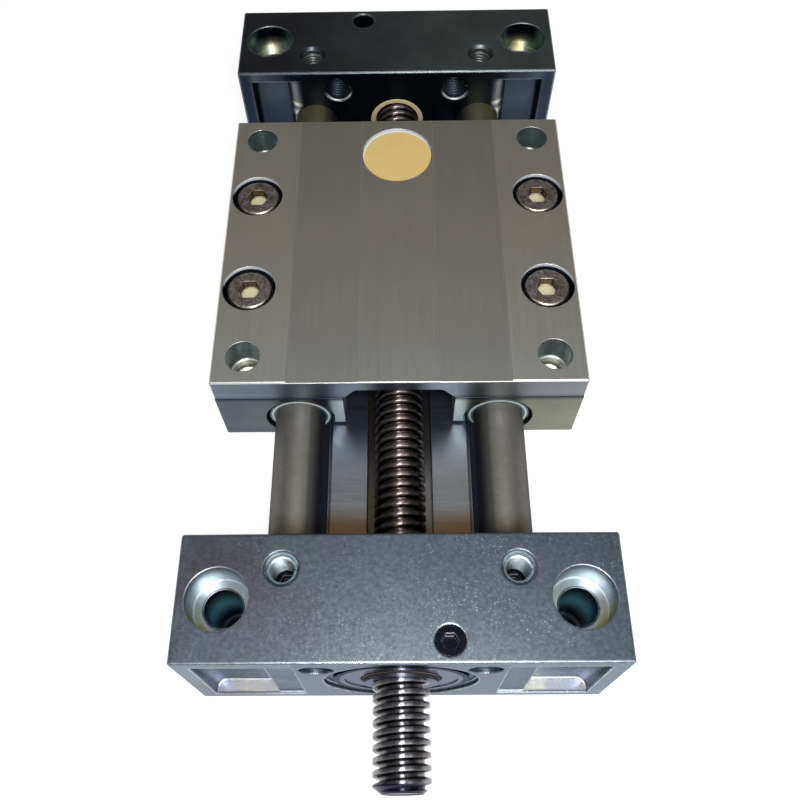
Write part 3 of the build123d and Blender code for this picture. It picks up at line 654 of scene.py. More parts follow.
def mounting_holes(zinc, shade, colours):
    """Counterbores, pale with painted light in the front block, dark with painted shade and a low painted
    highlight in the rear one, over through holes of painted shade and painted light.
    """
    blotches = zinc.clouds(120, 0.40, 0.62, detail=3)
    # Painted light on the front counterbores' walls
    pale = zinc.mix(zinc.times(blotches, 0.5), colours.bore_light, colours.lavender_glint)
    # Painted highlight along the foot of the counterbore's wall
    seat_rim_highlight = zinc.times(
        zinc.within(zinc.from_mount, counterbore_reach - 1 * MM, counterbore_reach - 0.4 * MM),
        zinc.span(zinc.facing_z, 0.4, 0.6),
    )
    pale = zinc.mix(zinc.times(seat_rim_highlight, 0.6), pale, colours.glint_and_wear)
    lip = zinc.span(zinc.z, block_high.z - 5 * MM, block_high.z - 1 * MM)
    pale = zinc.mix(lip, pale, colours.zinc_rim)
    gold = zinc.times(
        zinc.clouds(70, 0.44, 0.54, 0.9, detail=2, shift=(2, 4, 6)),
        zinc.within(zinc.from_mount, counterbore_reach - 2.5 * MM, counterbore_reach + 1 * MM),
        zinc.span(zinc.along, mount_y - 2 * MM, mount_y + 4 * MM),
    )
    pale = zinc.mix(gold, pale, colours.zinc_yellow)

    # Rear counterbores: painted shade high on the wall, a painted yellow-white highlight low down in the
    # middle, teal to the sides
    low = zinc.span(zinc.z, block_high.z - 5 * MM, block_high.z - 9 * MM)
    across = zinc.maths("ABSOLUTE", zinc.maths("SUBTRACT", zinc.aside, mount_x))
    glow = zinc.mix(zinc.span(across, 4 * MM, 1 * MM), colours.bore_light, colours.pale_light)
    glow = zinc.mix(zinc.span(blotches, 0, 1, 0.1, 0.6), glow, colours.zinc_yellow)
    dim = zinc.mix(low, colours.navy_shade, glow)
    dim = zinc.mix(zinc.span(across, 6 * MM, 9 * MM), dim, colours.zinc_teal)
    shade = zinc.mix(zinc.counterbore, shade, zinc.mix(zinc.rear, pale, dim))

    # Through holes: painted shade, with a band of painted teal light halfway down and a painted highlight
    # crescent low down
    shade = zinc.mix(zinc.hole, shade, zinc.mix(zinc.teal, colours.navy_shade, colours.hole_teal_light))
    ledge_highlight = zinc.times(zinc.hole, zinc.within(zinc.z, 9 * MM, 13 * MM, 1.5 * MM))
    return zinc.mix(ledge_highlight, shade, colours.lavender_glint)


def inner_side(zinc, shade, colours, forms):
    """Inner sides darkened as painted shade, with painted highlights on the rounded shoulders, painted
    reflection on the pocket backs and painted highlights at the mouths of the holes.
    """
    # Painted shade over the inner sides of both blocks
    inner = zinc.times(
        zinc.within(zinc.along, -block_high.y - 1 * MM, -block_low.y - 6 * MM, 0.5 * MM),
        zinc.span(zinc.maths("ABSOLUTE", zinc.facing_z), 0.8, 0.6),
        zinc.below(zinc.aside, block_high.x - 0.8 * MM, 0.4 * MM),
        zinc.inverse(zinc.maths("MAXIMUM", zinc.counterbore, zinc.tapped)),
    )
    shade = zinc.mix(zinc.times(inner, 0.9), shade, colours.navy_shade)
    # Painted reflection on the backs of the inner pockets
    back = zinc.times(
        inner,
        zinc.within(zinc.aside, forms.shoulder + 7 * MM, forms.outer_edge, 2 * MM),
        zinc.span(zinc.z, screw_height - 5 * MM, block_high.z - forms.rim, 0.15, 0.8),
    )
    shade = zinc.mix(back, shade, zinc.mix(zinc.noise(60, 3), colours.navy_shade, colours.zinc))
    # Painted highlight on the rounded shoulders
    shoulder = zinc.times(
        inner,
        zinc.within(zinc.aside, forms.shoulder + 1.5 * MM, forms.shoulder + 6 * MM, 1.5 * MM),
        zinc.within(zinc.z, forms.rim + 1 * MM, block_high.z - forms.rim - 1 * MM, 1 * MM),
    )
    shade = zinc.mix(zinc.times(shoulder, 0.5), shade, colours.shoulder_highlight)
    # Painted glints in two bars on the shoulders
    bar_glints = zinc.maths(
        "MAXIMUM",
        zinc.within(zinc.z, screw_height + 9 * MM, screw_height + 11 * MM, 0.6 * MM),
        zinc.within(zinc.z, screw_height + 3 * MM, screw_height + 6 * MM, 0.6 * MM),
    )
    shade = zinc.mix(zinc.times(bar_glints, shoulder, 0.8), shade, colours.pale_light)
    # Painted highlight on the lower lips of the bracket holes
    mouth = zinc.times(
        inner,
        zinc.below(zinc.from_bracket, bracket_reach),
        zinc.span(zinc.from_bracket, bracket_reach - 1.4 * MM, bracket_reach - 1 * MM),
        zinc.span(zinc.along, -block_high.y + 1.8 * MM, -block_high.y + 1.2 * MM),
        zinc.span(zinc.z, bracket_z - 1 * MM, bracket_z - 4 * MM),
    )
    return zinc.mix(mouth, shade, colours.glint_and_wear)


def block_plating(colours, forms):
    """The end blocks' zinc, from its base to the painted shadow round the bearing and the edges, partly
    worn and partly painted highlight.
    """
    zinc = BlockFinish()
    fine = zinc.noise(800, 3, 0.6)
    shade = block_zinc(zinc, fine, colours)
    shade = outer_face(zinc, shade, colours, forms)
    shade = mounting_holes(zinc, shade, colours)
    # Painted light in the front block's tapped holes, painted shade in the rear block's
    tapped_shade = zinc.mix(zinc.rear, colours.tapped_light, colours.rear_right_shade)
    shade = zinc.mix(zinc.tapped, shade, tapped_shade)
    shade = inner_side(zinc, shade, colours, forms)

    soft, edges = zinc.rounded(0.9 * MM)
    # Painted shadow in the recess round the front of each bearing
    seat = zinc.below(zinc.from_screw(), forms.bearing_ring + 2.7 * MM, 0.3 * MM)
    outer_seat_shadow = zinc.times(seat, zinc.span(zinc.outer_depth, 20 * MM, 15 * MM))
    shade = zinc.mix(outer_seat_shadow, shade, colours.navy_shade)
    # Edges partly worn and partly painted highlight, dimmer on the rear block and round the tapped holes
    worn_and_lit = zinc.times(
        zinc.inverse(seat),
        edges,
        zinc.span(zinc.noise(400, 4), 0.35, 0.6, 0.5, 1),
        zinc.span(zinc.front, 0, 1, 0.55, 1),
        zinc.span(zinc.from_clamp, clamp_reach + 0.3 * MM, clamp_reach + 1.3 * MM, 0.15, 1),
        zinc.span(zinc.from_bracket, bracket_reach + 0.5 * MM, bracket_reach + 1.5 * MM, 0.25, 1),
    )
    shade = zinc.mix(worn_and_lit, shade, colours.glint_and_wear)
    metal = zinc.inverse(zinc.times(zinc.hole, zinc.teal, zinc.front, 0.25))
    return zinc.coat(shade, fine, (0.33, 0.42), 0.02, soft, metal, (0.72, 0.76, 0.82))


def brushed_plate(colours, forms):
    """Aluminium brushed along the carriage, with paler bands, sides darkened as painted shade with a
    painted shadow at their foot, bluish hole walls, and painted shade and highlights in the recesses.
    """
    plate = Finish("plate_metal")
    streaks = plate.noise(1400, 3, 0.6, (1, 0.02, 1))
    front = plate.span(plate.y, payload_centre, plate_low.y, 0, 0.8)
    top = plate.mix(front, colours.plate, colours.plate_front)
    top = plate.shades(top, streaks, 0.985, 1.015)
    top = plate.shades(top, plate.noise(120, 3, 0.6, (1, 0.3, 1)), 0.97, 1.03)
    outer_band = plate.span(plate.aside, forms.plate_band - 0.2 * MM, forms.plate_band)
    strip = plate.span(plate.aside, forms.plate_strip, forms.plate_strip - 0.2 * MM)
    level = plate.maths("ADD", plate.times(outer_band, 0.2), plate.times(strip, 0.04))
    top = plate.scaled(top, plate.maths("ADD", level, 1.0))
    step = plate.maths(
        "MAXIMUM",
        plate.within(plate.aside, forms.plate_band - 0.5 * MM, forms.plate_band + 0.3 * MM),
        plate.within(plate.aside, forms.plate_strip - 0.3 * MM, forms.plate_strip + 0.3 * MM),
    )
    top = plate.mix(plate.times(step, 0.35), top, colours.edge_wear_and_glint)
    # Sides darker than the top as painted shade, lighter towards the right as painted light, with a
    # painted shadow along the foot
    side = plate.shades(colours.plate_side, plate.noise(500, 3, 0.6, (0.05, 1, 1)), 0.9, 1.12)
    side = plate.mix(plate.span(plate.x, -30 * MM, 60 * MM, 0, 0.6), side, colours.plate_side_lit_right)
    foot = plate.span(plate.z, plate_low.z + 2.5 * MM, plate_low.z + 0.5 * MM, 0, 0.6)
    side = plate.mix(foot, side, colours.navy_shade)
    shade = plate.mix(plate.span(plate.facing_z, 0.75, 0.5), top, side)

    # Walls of the corner holes, and of the recesses round the screw heads and the disc
    sunk = plate.below(plate.z, plate_high.z - 0.8 * MM, 0.3 * MM)
    wall = plate.times(plate.below(plate.from_plate_hole(payload_x, payload_y), payload_reach), sunk)
    shade = plate.mix(wall, shade, colours.plate_hole)
    # Painted shade on the walls of the recesses round the screw heads
    near_head = plate.below(plate.from_plate_hole(head_x, head_y), head_radius + 2 * MM)
    ring = plate.mix(plate.span(plate.facing_y, -0.2, -0.7), colours.navy_shade, colours.plate_side)
    shade = plate.mix(plate.times(near_head, sunk), shade, ring)
    from_disc = plate.distance(plate.x, plate.y, disc_x, disc_y)
    near_disc = plate.below(from_disc, disc_radius + 1 * MM)
    # Painted highlight on the rear walls of the recesses round the heads and the disc, just under the top
    rim = plate.times(
        plate.maths("MAXIMUM", near_head, near_disc),
        plate.span(plate.facing_y, -0.05, -0.3),
        plate.span(plate.z, plate_high.z - 1.7 * MM, plate_high.z - 1.4 * MM),
    )
    shade = plate.mix(rim, shade, colours.glint_and_wear)

    # Top edges partly worn and partly painted highlight
    soft, edges = plate.rounded(0.4 * MM)
    edges = plate.times(edges, plate.span(plate.z, plate_high.z - 6 * MM, plate_high.z - 4 * MM))
    shade = plate.mix(plate.times(edges, 0.8), shade, colours.edge_wear_and_glint)
    metal = plate.inverse(plate.times(rim, 0.7))
    return plate.coat(shade, streaks, (0.38, 0.42), 0.0015, soft, metal)


def housing_plating(colours):
    """Zinc, darker and bluer on the left housing and lighter and olive on the right one as painted light
    and shade, paler on the inner lugs, with a painted shadow under the plate.
    """
    zinc = Finish("housing_plating")
    # Painted light and shade: lighter and olive towards the right
    right = zinc.span(zinc.x, -30 * MM, 30 * MM)
    shade = zinc.mix(right, colours.housing, colours.housing_lit_olive)
    shade = zinc.mix(zinc.clouds(30, 0.45, 0.65, 0.6), shade, colours.housing_cloud)
    lug = zinc.span(zinc.aside, clamp_x - liner_radius + 1 * MM, clamp_x - liner_radius - 1 * MM)
    shade = zinc.mix(lug, shade, colours.housing_lug)
    # Painted shadow along the top of the housings, under the plate
    head = zinc.span(zinc.z, plate_low.z - 2.5 * MM, plate_low.z - 0.5 * MM, 0, 0.85)
    shade = zinc.mix(head, shade, colours.navy_shade)
    # Painted light in the mouths of the corner holes' threads
    mouth = zinc.below(zinc.from_plate_hole(payload_x, payload_y), payload_reach)
    shade = zinc.mix(mouth, shade, colours.pale_light)
    fine = zinc.noise(900, 4, 0.6)
    shade = zinc.shades(shade, fine, 0.88, 1.12)
    # Lower edges partly worn and partly painted highlight
    soft, edges = zinc.rounded(0.4 * MM)
    edges = zinc.times(edges, zinc.span(zinc.z, plate_low.z - 1 * MM, plate_low.z - 2 * MM))
    shade = zinc.mix(zinc.times(edges, 0.6), shade, colours.glint_and_wear)
    return zinc.coat(shade, fine, (0.32, 0.45), 0.01, soft)


def threaded_steel(colours, sizes):
    """Rolled steel with polished crests and roots, flanks darkened as painted shade, polished crests
    darkened at their sides as painted shade, a duller stub and a dark tip.
    """
    steel = Finish("threaded_steel")
    radius = steel.from_screw()
    polished = steel.span(steel.y, block_low.y + 4 * MM, block_high.y - 4 * MM)
    crest = steel.mix(
        polished,
        steel.span(radius, screw_radius - 0.35 * MM, screw_radius - 0.05 * MM),
        steel.span(radius, screw_radius - 1.4 * MM, screw_radius - 0.4 * MM),
    )
    root_radius = screw_radius - sizes.screw_depth
    root = steel.span(radius, root_radius + 0.4 * MM, root_radius + 0.1 * MM)
    scuffs = steel.noise(700, 4, 0.6)
    crest_shade = steel.mix(polished, colours.screw_stub, colours.screw)
    crest_shade = steel.shades(crest_shade, scuffs, 0.7, 1.25)
    oil = steel.clouds(90, 0.5, 0.7, 0.45, detail=3)
    crest_shade = steel.mix(oil, crest_shade, colours.screw_oil)
    # Painted shade on the sides of the polished crests
    sides = steel.span(steel.maths("ABSOLUTE", steel.facing_x), 0.25, 0.85, 1, 0.25)
    crest_shade = steel.mix(polished, crest_shade, steel.scaled(crest_shade, sides))
    # Bright crests and roots, painted shade on the flanks between them
    shine = steel.maths("MAXIMUM", crest, steel.times(root, steel.span(polished, 0, 1, 0.8, 0.55)))
    shade = steel.mix(shine, colours.flank_shade, crest_shade)
    tip = steel.span(steel.y, screw_low.y + 3 * MM, screw_low.y + 2.5 * MM)
    shade = steel.mix(tip, shade, colours.screw_tip)
    steel.paint(shade, 0.3)
    steel.shader.inputs["Anisotropic"].default_value = 0.95
    lengthwise = steel.add("ShaderNodeCombineXYZ", Y=1.0).outputs[0]
    steel.feed(steel.shader.inputs["Tangent"], lengthwise)
    steel.bump(scuffs, 0.006 * MM)
    return steel.material


def channel_metal(colours):
    """Brushed channel, lighter to the right as painted light, with painted shade towards the carriage, a
    painted reflection of the front block, a painted shadow of the screw in its groove, and edges partly
    worn and partly painted highlight.
    """
    channel = Finish("channel_metal")
    # Painted light: lighter towards the right
    right = channel.span(channel.x, -10 * MM, 20 * MM, 0, 0.7)
    shade = channel.mix(right, colours.channel, colours.channel_lit_right)
    # Painted shade towards the carriage
    shaded = channel.span(channel.y, plate_low.y - 22 * MM, plate_low.y - 2 * MM, 0, 0.9)
    shade = channel.mix(shaded, shade, colours.channel_shade_blue)
    # Painted reflection of the front block on the upward faces beside it
    block_reflection = channel.span(channel.y, block_high.y + 24 * MM, block_high.y + 16 * MM, 0, 0.9)
    up = channel.span(channel.facing_z, 0.3, 0.5)
    shade = channel.mix(channel.times(block_reflection, up), shade, colours.channel_block_reflection)
    # Painted shadow of the screw in the groove, stronger on its left
    groove = channel.times(
        channel.below(channel.z, channel_high.z - 0.8 * MM, 0.4 * MM),
        channel.span(channel.x, screw_radius / 2, -screw_radius / 2, 0.3, 0.9),
        channel.below(channel.aside, channel_high.x - 2 * MM, 1 * MM),
    )
    shade = channel.mix(groove, shade, colours.groove_shadow)
    fine = channel.noise(90, 4, 0.6, (1, 40, 40))
    shade = channel.shades(shade, fine, 0.9, 1.1)
    # Edges partly worn and partly painted highlight
    soft, edges = channel.rounded(0.3 * MM)
    shade = channel.mix(channel.times(edges, 0.6), shade, colours.glint_and_wear)
    return channel.coat(shade, fine, (0.32, 0.46), 0.012, soft)


def even_finish(
    name,
    shade,
    cloud=None,
    cloud_scale=40,
    roughness=(0.3, 0.4),
    grain=900,
    relief=0.01,
    mottle=0.1,
    edge=None,
    edge_width=0.4,
    metallic=1.0,
    grazing=(1, 1, 1),
):
    """A finish with clouds of a second colour, a fine grain and lighter edges, partly worn and partly
    painted highlight, the same all over.
    """
    finish = Finish(name)
    if cloud:
        shade = finish.mix(finish.clouds(cloud_scale), shade, cloud)
    fine = finish.noise(grain, 4, 0.6)
    shade = finish.shades(shade, fine, 1 - mottle, 1 + mottle)
    soft = None
    if edge:
        soft, edges = finish.rounded(edge_width * MM)
        shade = finish.mix(finish.times(edges, 0.8), shade, edge)
    return finish.coat(shade, fine, roughness, relief, soft, metallic, grazing)


def shaft_metal(colours):
    """Ground shafts with sides darkened as painted shade, an olive painted reflection at the rear, and
    brown by the front block, partly stains and partly its painted reflection.
    """
    shaft = Finish("shaft_metal")
    # Painted reflection: olive towards the rear block
    film = shaft.span(shaft.y, plate_high.y - 6 * MM, plate_high.y + 8 * MM, 0, 0.85)
    shade = shaft.mix(film, colours.shaft, colours.shaft_rear_reflection)
    # Brown spots by the front block: partly stains, partly painted reflection
    brown = shaft.span(shaft.y, block_high.y + 16 * MM, block_high.y + 6 * MM)
    brown = shaft.times(brown, shaft.span(shaft.noise(90, 3), 0.25, 0.55, 0.3, 0.9))
    shade = shaft.mix(brown, shade, colours.shaft_stain_and_reflection)
    # Painted shade on both sides, darkest on the inner side
    outward = shaft.times(shaft.facing_x, shaft.maths("SIGN", shaft.x))
    shade = shaft.mix(shaft.span(outward, -0.42, -0.88, 0, 0.93), shade, colours.shaft_side_shade)
    shade = shaft.mix(shaft.span(outward, 0.55, 0.95, 0, 0.5), shade, colours.shaft_side_shade)
    fine = shaft.noise(1500, 4, 0.6)
    shade = shaft.shades(shade, fine, 0.92, 1.08)
    shade = shaft.shades(shade, shaft.noise(300, 3, shift=(4, 2, 6)), 0.94, 1.06)
    return shaft.coat(shade, fine, (0.5, 0.6), 0.01, grazing=(0.4, 0.4, 0.42))


def liner_resin(colours):
    """Liners with a pale ring between edges darkened as painted shade."""
    liner = Finish("liner_resin")
    from_shaft = liner.distance(liner.aside, liner.z, clamp_x, screw_height)
    # A pale ring between painted shade
    ring = liner.within(from_shaft, liner_radius - 1.4 * MM, liner_radius - 0.7 * MM)
    fine = liner.noise(900, 4, 0.6)
    shade = liner.shades(liner.mix(ring, colours.liner_edge_shade, colours.liner), fine, 0.9, 1.1)
    return liner.coat(shade, fine, (0.35, 0.5), 0.01, metallic=0.0)


def bearing_metal(colours, forms):
    """Pale shields inside a dark outer ring, painted as the shadow of the recess round it."""
    bearing = Finish("bearing_metal")
    # Painted shadow: the outer ring dark as the recess round it
    ring = bearing.span(bearing.from_screw(), forms.bearing_ring, forms.bearing_ring + 0.2 * MM)
    fine = bearing.noise(400, 4, 0.6)
    shade = bearing.mix(ring, colours.shield, colours.oxide)
    shade = bearing.shades(shade, fine, 0.95, 1.05)
    return bearing.coat(shade, fine, (0.2, 0.3), 0.004, grazing=(0.4, 0.42, 0.5))


def head_metal(colours):
    """Speckled screw heads with painted glints, each with a socket whose walls are painted shade and whose
    floor has a painted glint, and with painted highlights on the rims.
    """
    head = Finish("head_metal")
    shade = head.mix(head.clouds(450), colours.fastener, colours.fastener_dark)
    fine = head.noise(1300, 4, 0.6)
    shade = head.shades(shade, fine, 0.65, 1.35)
    # Painted glints as bright specks
    shade = head.mix(head.dots(600, 0.2), shade, colours.glint_and_wear)
    from_axis = head.from_plate_hole(head_x, head_y)
    socket = head.below(from_axis, socket_reach)
    # Painted shade on the socket walls
    steep = head.span(head.facing_z, 0.6, 0.4)
    shade = head.mix(head.times(socket, steep), shade, colours.hub_dark)
    deep = head.below(head.z, head_high.z - 2 * MM, 1 * MM)
    floor = head.times(socket, deep, head.inverse(steep))
    shade = head.mix(floor, shade, colours.hub)
    # Painted glint on the socket floor
    blotch = head.times(floor, head.span(from_axis, socket_reach - 1.7 * MM, socket_reach - 2.9 * MM))
    shade = head.mix(blotch, shade, colours.socket_floor_glint)
    # Rims lit by a painted highlight
    soft, edges = head.rounded(0.8 * MM)
    edges = head.times(edges, head.span(from_axis, socket_reach + 0.4 * MM, socket_reach + 0.9 * MM))
    shade = head.mix(head.times(edges, 0.7), shade, colours.lavender_glint)
    metal = head.inverse(head.times(blotch, 0.7))
    return head.coat(shade, fine, (0.24, 0.4), 0.03, soft, metal)


def disc_lacquer(colours):
    """Yellow lacquer with a painted highlight in a crescent along the rear rim."""
    disc = Finish("disc_lacquer")
    shade = disc.mix(disc.clouds(120), colours.disc, colours.disc_warm)
    # Painted highlight in a crescent along the rear rim
    from_front = disc.distance(disc.x, disc.y, disc_x + 0.3 * MM, disc_y - 1 * MM)
    rim_highlight = disc.span(from_front, disc_radius - 0.3 * MM, disc_radius + 0.1 * MM)
    shade = disc.mix(rim_highlight, shade, colours.edge_wear_and_glint)
    fine = disc.noise(500, 4, 0.6)
    return disc.coat(shade, fine, (0.3, 0.36), 0.002, metallic=0.0)


def plain_finishes(colours):
    """The finishes that are the same all over their pieces."""
    pale = colours.edge_wear_and_glint
    matte = (0.3, 0.3, 0.3)
    return {
        "hub": even_finish("hub_metal", colours.hub, colours.hub_dark, cloud_scale=80, grazing=matte),
        # Set screws with painted glints on their rims
        "oxide": even_finish(
            "black_oxide", colours.oxide, roughness=(0.25, 0.38), grain=1500, edge=colours.oxide_edge_glint
        ),
        "matte_oxide": even_finish("matte_oxide", colours.oxide, grazing=matte),
        "fastener": even_finish(
            "fastener_metal",
            colours.fastener,
            colours.fastener_dark,
            cloud_scale=450,
            roughness=(0.24, 0.4),
            grain=1300,
            relief=0.03,
            mottle=0.35,
            edge=pale,
            edge_width=0.9,
        ),
        "nut_block": even_finish("nut_block_metal", colours.nut_block, grain=400),
        "bronze": even_finish("nut_metal", colours.bronze, colours.bronze_dark, cloud_scale=90, grain=500),
        "bush": even_finish("bush_metal", colours.bush, roughness=(0.35, 0.5), edge=pale, metallic=0.0),
    }


# Which finish each CAD node wears
DRESSED = {
    "block": ("front_end_block", "rear_end_block"),
    "plate": ("carriage_plate",),
    "screw": ("lead_screw", "rear_journal_sleeve"),
    "housing": ("left_bearing_housing", "right_bearing_housing"),
    "shaft": ("left_guide_shaft", "right_guide_shaft"),
    "channel": ("base_channel",),
    "bearing": ("front_bearing_outer_ring", "rear_bearing_outer_ring", "front_snap_rings"),
    "hub": ("front_bearing_inner_ring", "rear_bearing_inner_ring"),
    "oxide": ("front_shaft_clamp_screws", "rear_shaft_clamp_screws", "front_bearing_lock_screw"),
    "matte_oxide": ("rear_bearing_lock_screw",),
    "head": ("housing_screws",),
    "fastener": ("base_channel_screws", "nut_block_screws", "nut_flange_screws"),
    "nut_block": ("nut_block",),
    "bronze": ("screw_nut",),
    "bush": ("front_screw_bush", "rear_screw_bush"),
    "liner": ("front_left_liner", "front_right_liner", "rear_left_liner", "rear_right_liner"),
    "disc": ("marker_disc",),
}


class STAGE_OT_finishes(bpy.types.Operator):
    """Paint the CAD nodes with their procedural finishes"""

    bl_idname = "stage.finishes"
    bl_label = "Finishes"

    def execute(self, context):
        colours = context.scene.stage_finishes
        forms = context.scene.stage_forms
        finishes.update(plain_finishes(colours))
        finishes["block"] = block_plating(colours, forms)
        finishes["plate"] = brushed_plate(colours, forms)
        finishes["housing"] = housing_plating(colours)
        finishes["screw"] = threaded_steel(colours, context.scene.stage_threads)
        finishes["channel"] = channel_metal(colours)
        finishes["shaft"] = shaft_metal(colours)
        finishes["liner"] = liner_resin(colours)
        finishes["bearing"] = bearing_metal(colours, forms)
        finishes["disc"] = disc_lacquer(colours)
        finishes["head"] = head_metal(colours)
        for finish, nodes in DRESSED.items():
            dress(finish, *nodes)
        return {"FINISHED"}


# Pieces


# Degrees between a trapezoidal thread's flank and a plane across its axis
FLANK_ANGLE = 15


def thread_profile(sizes):
    """The outline of one turn as (radius, along) points, with rounded corners at crest and root."""
    root_radius = screw_radius - sizes.screw_depth
    half_crest = sizes.screw_crest / 2
    flank_run = sizes.screw_depth * math.tan(math.radians(FLANK_ANGLE))
    round_off = 0.34 * MM
    rise = (
        (root_radius, sizes.screw_pitch / 2),
        (root_radius, half_crest + flank_run + round_off / 2),
        (root_radius + round_off / 2, half_crest + flank_run - round_off / 6),
        (screw_radius - round_off, half_crest + round_off / 6),
        (screw_radius - round_off / 3, half_crest - round_off / 3),
        (screw_radius, half_crest - round_off),
    )
    fall = [(radius, along) for radius, along in reversed(rise)]
    return [(radius, -along) for radius, along in rise] + fall


class STAGE_OT_lead_screw(bpy.types.Operator):
    """Wind the trapezoidal thread of the lead screw and turn down its ends"""

    bl_idname = "stage.lead_screw"
    bl_label = "Lead screw"

    def execute(self, context):
        sizes = context.scene.stage_threads
        root_radius = screw_radius - sizes.screw_depth
        threaded = screw_high.y - screw_low.y - sizes.journal_length
        turns = math.ceil(threaded / sizes.screw_pitch) + 2
        screw = chain("threaded_screw", thread_profile(sizes))
        wind(screw, sizes.screw_pitch, turns, steps=40)
        trim_along_z(screw, sizes.screw_pitch, sizes.screw_pitch + threaded)
        room = 0.5 * MM
        envelope = turned(
            "thread_envelope",
            (
                (root_radius - sizes.tip_chamfer / 3, 0),
                (screw_radius + room, sizes.tip_chamfer + room),
                (screw_radius + room, threaded + sizes.screw_pitch),
            ),
            segments=64,
        )
        # A hair below the coil's cut end, so that no two flat faces meet
        hair = 0.001 * MM
        envelope.location.z = sizes.screw_pitch - hair
        settle(envelope)
        keep_inside(screw, envelope)
        chamfer = 0.6 * MM
        journal = turned(
            "rear_journal",
            (
                (sizes.journal_radius, 0),
                (sizes.journal_radius, sizes.journal_length - chamfer),
                (sizes.journal_radius - chamfer, sizes.journal_length),
            ),
            segments=48,
        )
        journal.location.z = sizes.screw_pitch + threaded
        settle(journal)
        pick(screw, journal)
        bpy.ops.object.join()
        screw.rotation_euler.x = -math.pi / 2
        screw.location = (0, screw_low.y - sizes.screw_pitch, screw_height)
        settle(screw)
        smooth(screw, 35)
        dress("screw", screw)
        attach(screw, "screw")
        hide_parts("lead_screw")
        return {"FINISHED"}


def hole_thread(name, radius, pitch, reach):
    """A closed ridge wound up a hole from z = 0, with its foot in the wall."""
    sunk = 0.08 * MM
    height = 0.62 * pitch
    half_foot = 0.45 * pitch
    half_crest = 0.08 * pitch
    profile = (
        (radius + sunk, -half_foot),
        (radius - height, -half_crest),
        (radius - height, half_crest),
        (radius + sunk, half_foot),
    )
    piece = chain(name, profile)
    bpy.ops.object.mode_set(mode="EDIT")
    bpy.ops.mesh.select_all(action="DESELECT")
    close_mesh()
    for corner in (0, len(profile) - 1):
        piece.data.vertices[corner].select = True
    bpy.ops.object.mode_set(mode="EDIT")
    bpy.ops.mesh.edge_face_add()
    bpy.ops.mesh.select_all(action="SELECT")
    bpy.ops.transform.translate(value=(0, 0, pitch / 2))
    close_mesh()
    wind(piece, pitch, int(reach / pitch) - 1, steps=32)
    open_mesh()
    bpy.ops.mesh.fill_holes(sides=4)
    bpy.ops.mesh.normals_make_consistent(inside=False)
    close_mesh()
    smooth(piece, 25)
    return piece


def copies(piece, places, name):
    """Copies of a piece at these places, joined under one name; the piece is the first of them."""
    made = [piece]
    for _ in places[1:]:
        twin = piece.copy()
        twin.data = piece.data.copy()
        bpy.context.collection.objects.link(twin)
        made.append(twin)
    for twin, place in zip(made, places):
        twin.location = place
    pick(*made)
    bpy.ops.object.transform_apply(location=True, rotation=True, scale=True)
    bpy.ops.object.join()
    piece.name = name
    return piece


class STAGE_OT_hole_threads(bpy.types.Operator):
    """Wind the threads that show in the tapped holes"""

    bl_idname = "stage.hole_threads"
    bl_label = "Hole threads"

    def execute(self, context):
        sizes = context.scene.stage_threads
        clear = 0.3 * MM
        clamp = hole_thread("clamp", sizes.clamp_radius, sizes.clamp_pitch, sizes.clamp_length)
        foot = clamp_high.z + clear
        places = [(x, y, foot) for x in (-clamp_x, clamp_x) for y in (-clamp_y, clamp_y)]
        clamp = copies(clamp, places, "clamp_hole_threads")
        bracket = hole_thread("bracket", sizes.bracket_radius, sizes.bracket_pitch, sizes.bracket_length)
        bracket.rotation_euler.x = -math.pi / 2
        chamfer = 1.1 * MM
        places = [
            (x, y, bracket_z)
            for x in (-bracket_x, bracket_x)
            for y in (block_low.y + chamfer, -block_high.y + chamfer + clear)
        ]
        bracket = copies(bracket, places, "flange_hole_threads")
        payload = hole_thread("payload", sizes.payload_radius, sizes.payload_pitch, sizes.payload_length)
        places = [
            (x, payload_centre + y, sizes.payload_start)
            for x in (-payload_x, payload_x)
            for y in (-payload_y, payload_y)
        ]
        payload = copies(payload, places, "payload_hole_threads")
        dress("block", clamp, bracket)
        dress("housing", payload)
        for piece, body, slot in (
            (clamp, "base", "zinc_block"),
            (bracket, "base", "zinc_block"),
            (payload, "carriage", "housing_zinc"),
        ):
            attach(piece, body)
        return {"FINISHED"}


def aim_camera(scene, studio):
    """Put the camera where the photograph was taken from."""
    place = Vector(studio.camera_place)
    ahead = (Vector(studio.camera_target) - place).normalized()
    right = ahead.cross(Vector((0, 0, 1))).normalized()
    up = right.cross(ahead)
    roll = studio.camera_roll
    rolled_right = right * math.cos(roll) + up * math.sin(roll)
    rolled_up = up * math.cos(roll) - right * math.sin(roll)
    deselect()
    bpy.ops.object.camera_add()
    camera = bpy.context.object
    aim = Matrix((rolled_right, rolled_up, -ahead)).transposed()
    camera.matrix_world = Matrix.Translation(place) @ aim.to_4x4()
    camera.data.sensor_width = 36
    camera.data.lens = studio.lens
    camera.data.shift_x = studio.shift_x
    camera.data.shift_y = studio.shift_y
    camera.data.clip_start = 0.01
    scene.camera = camera


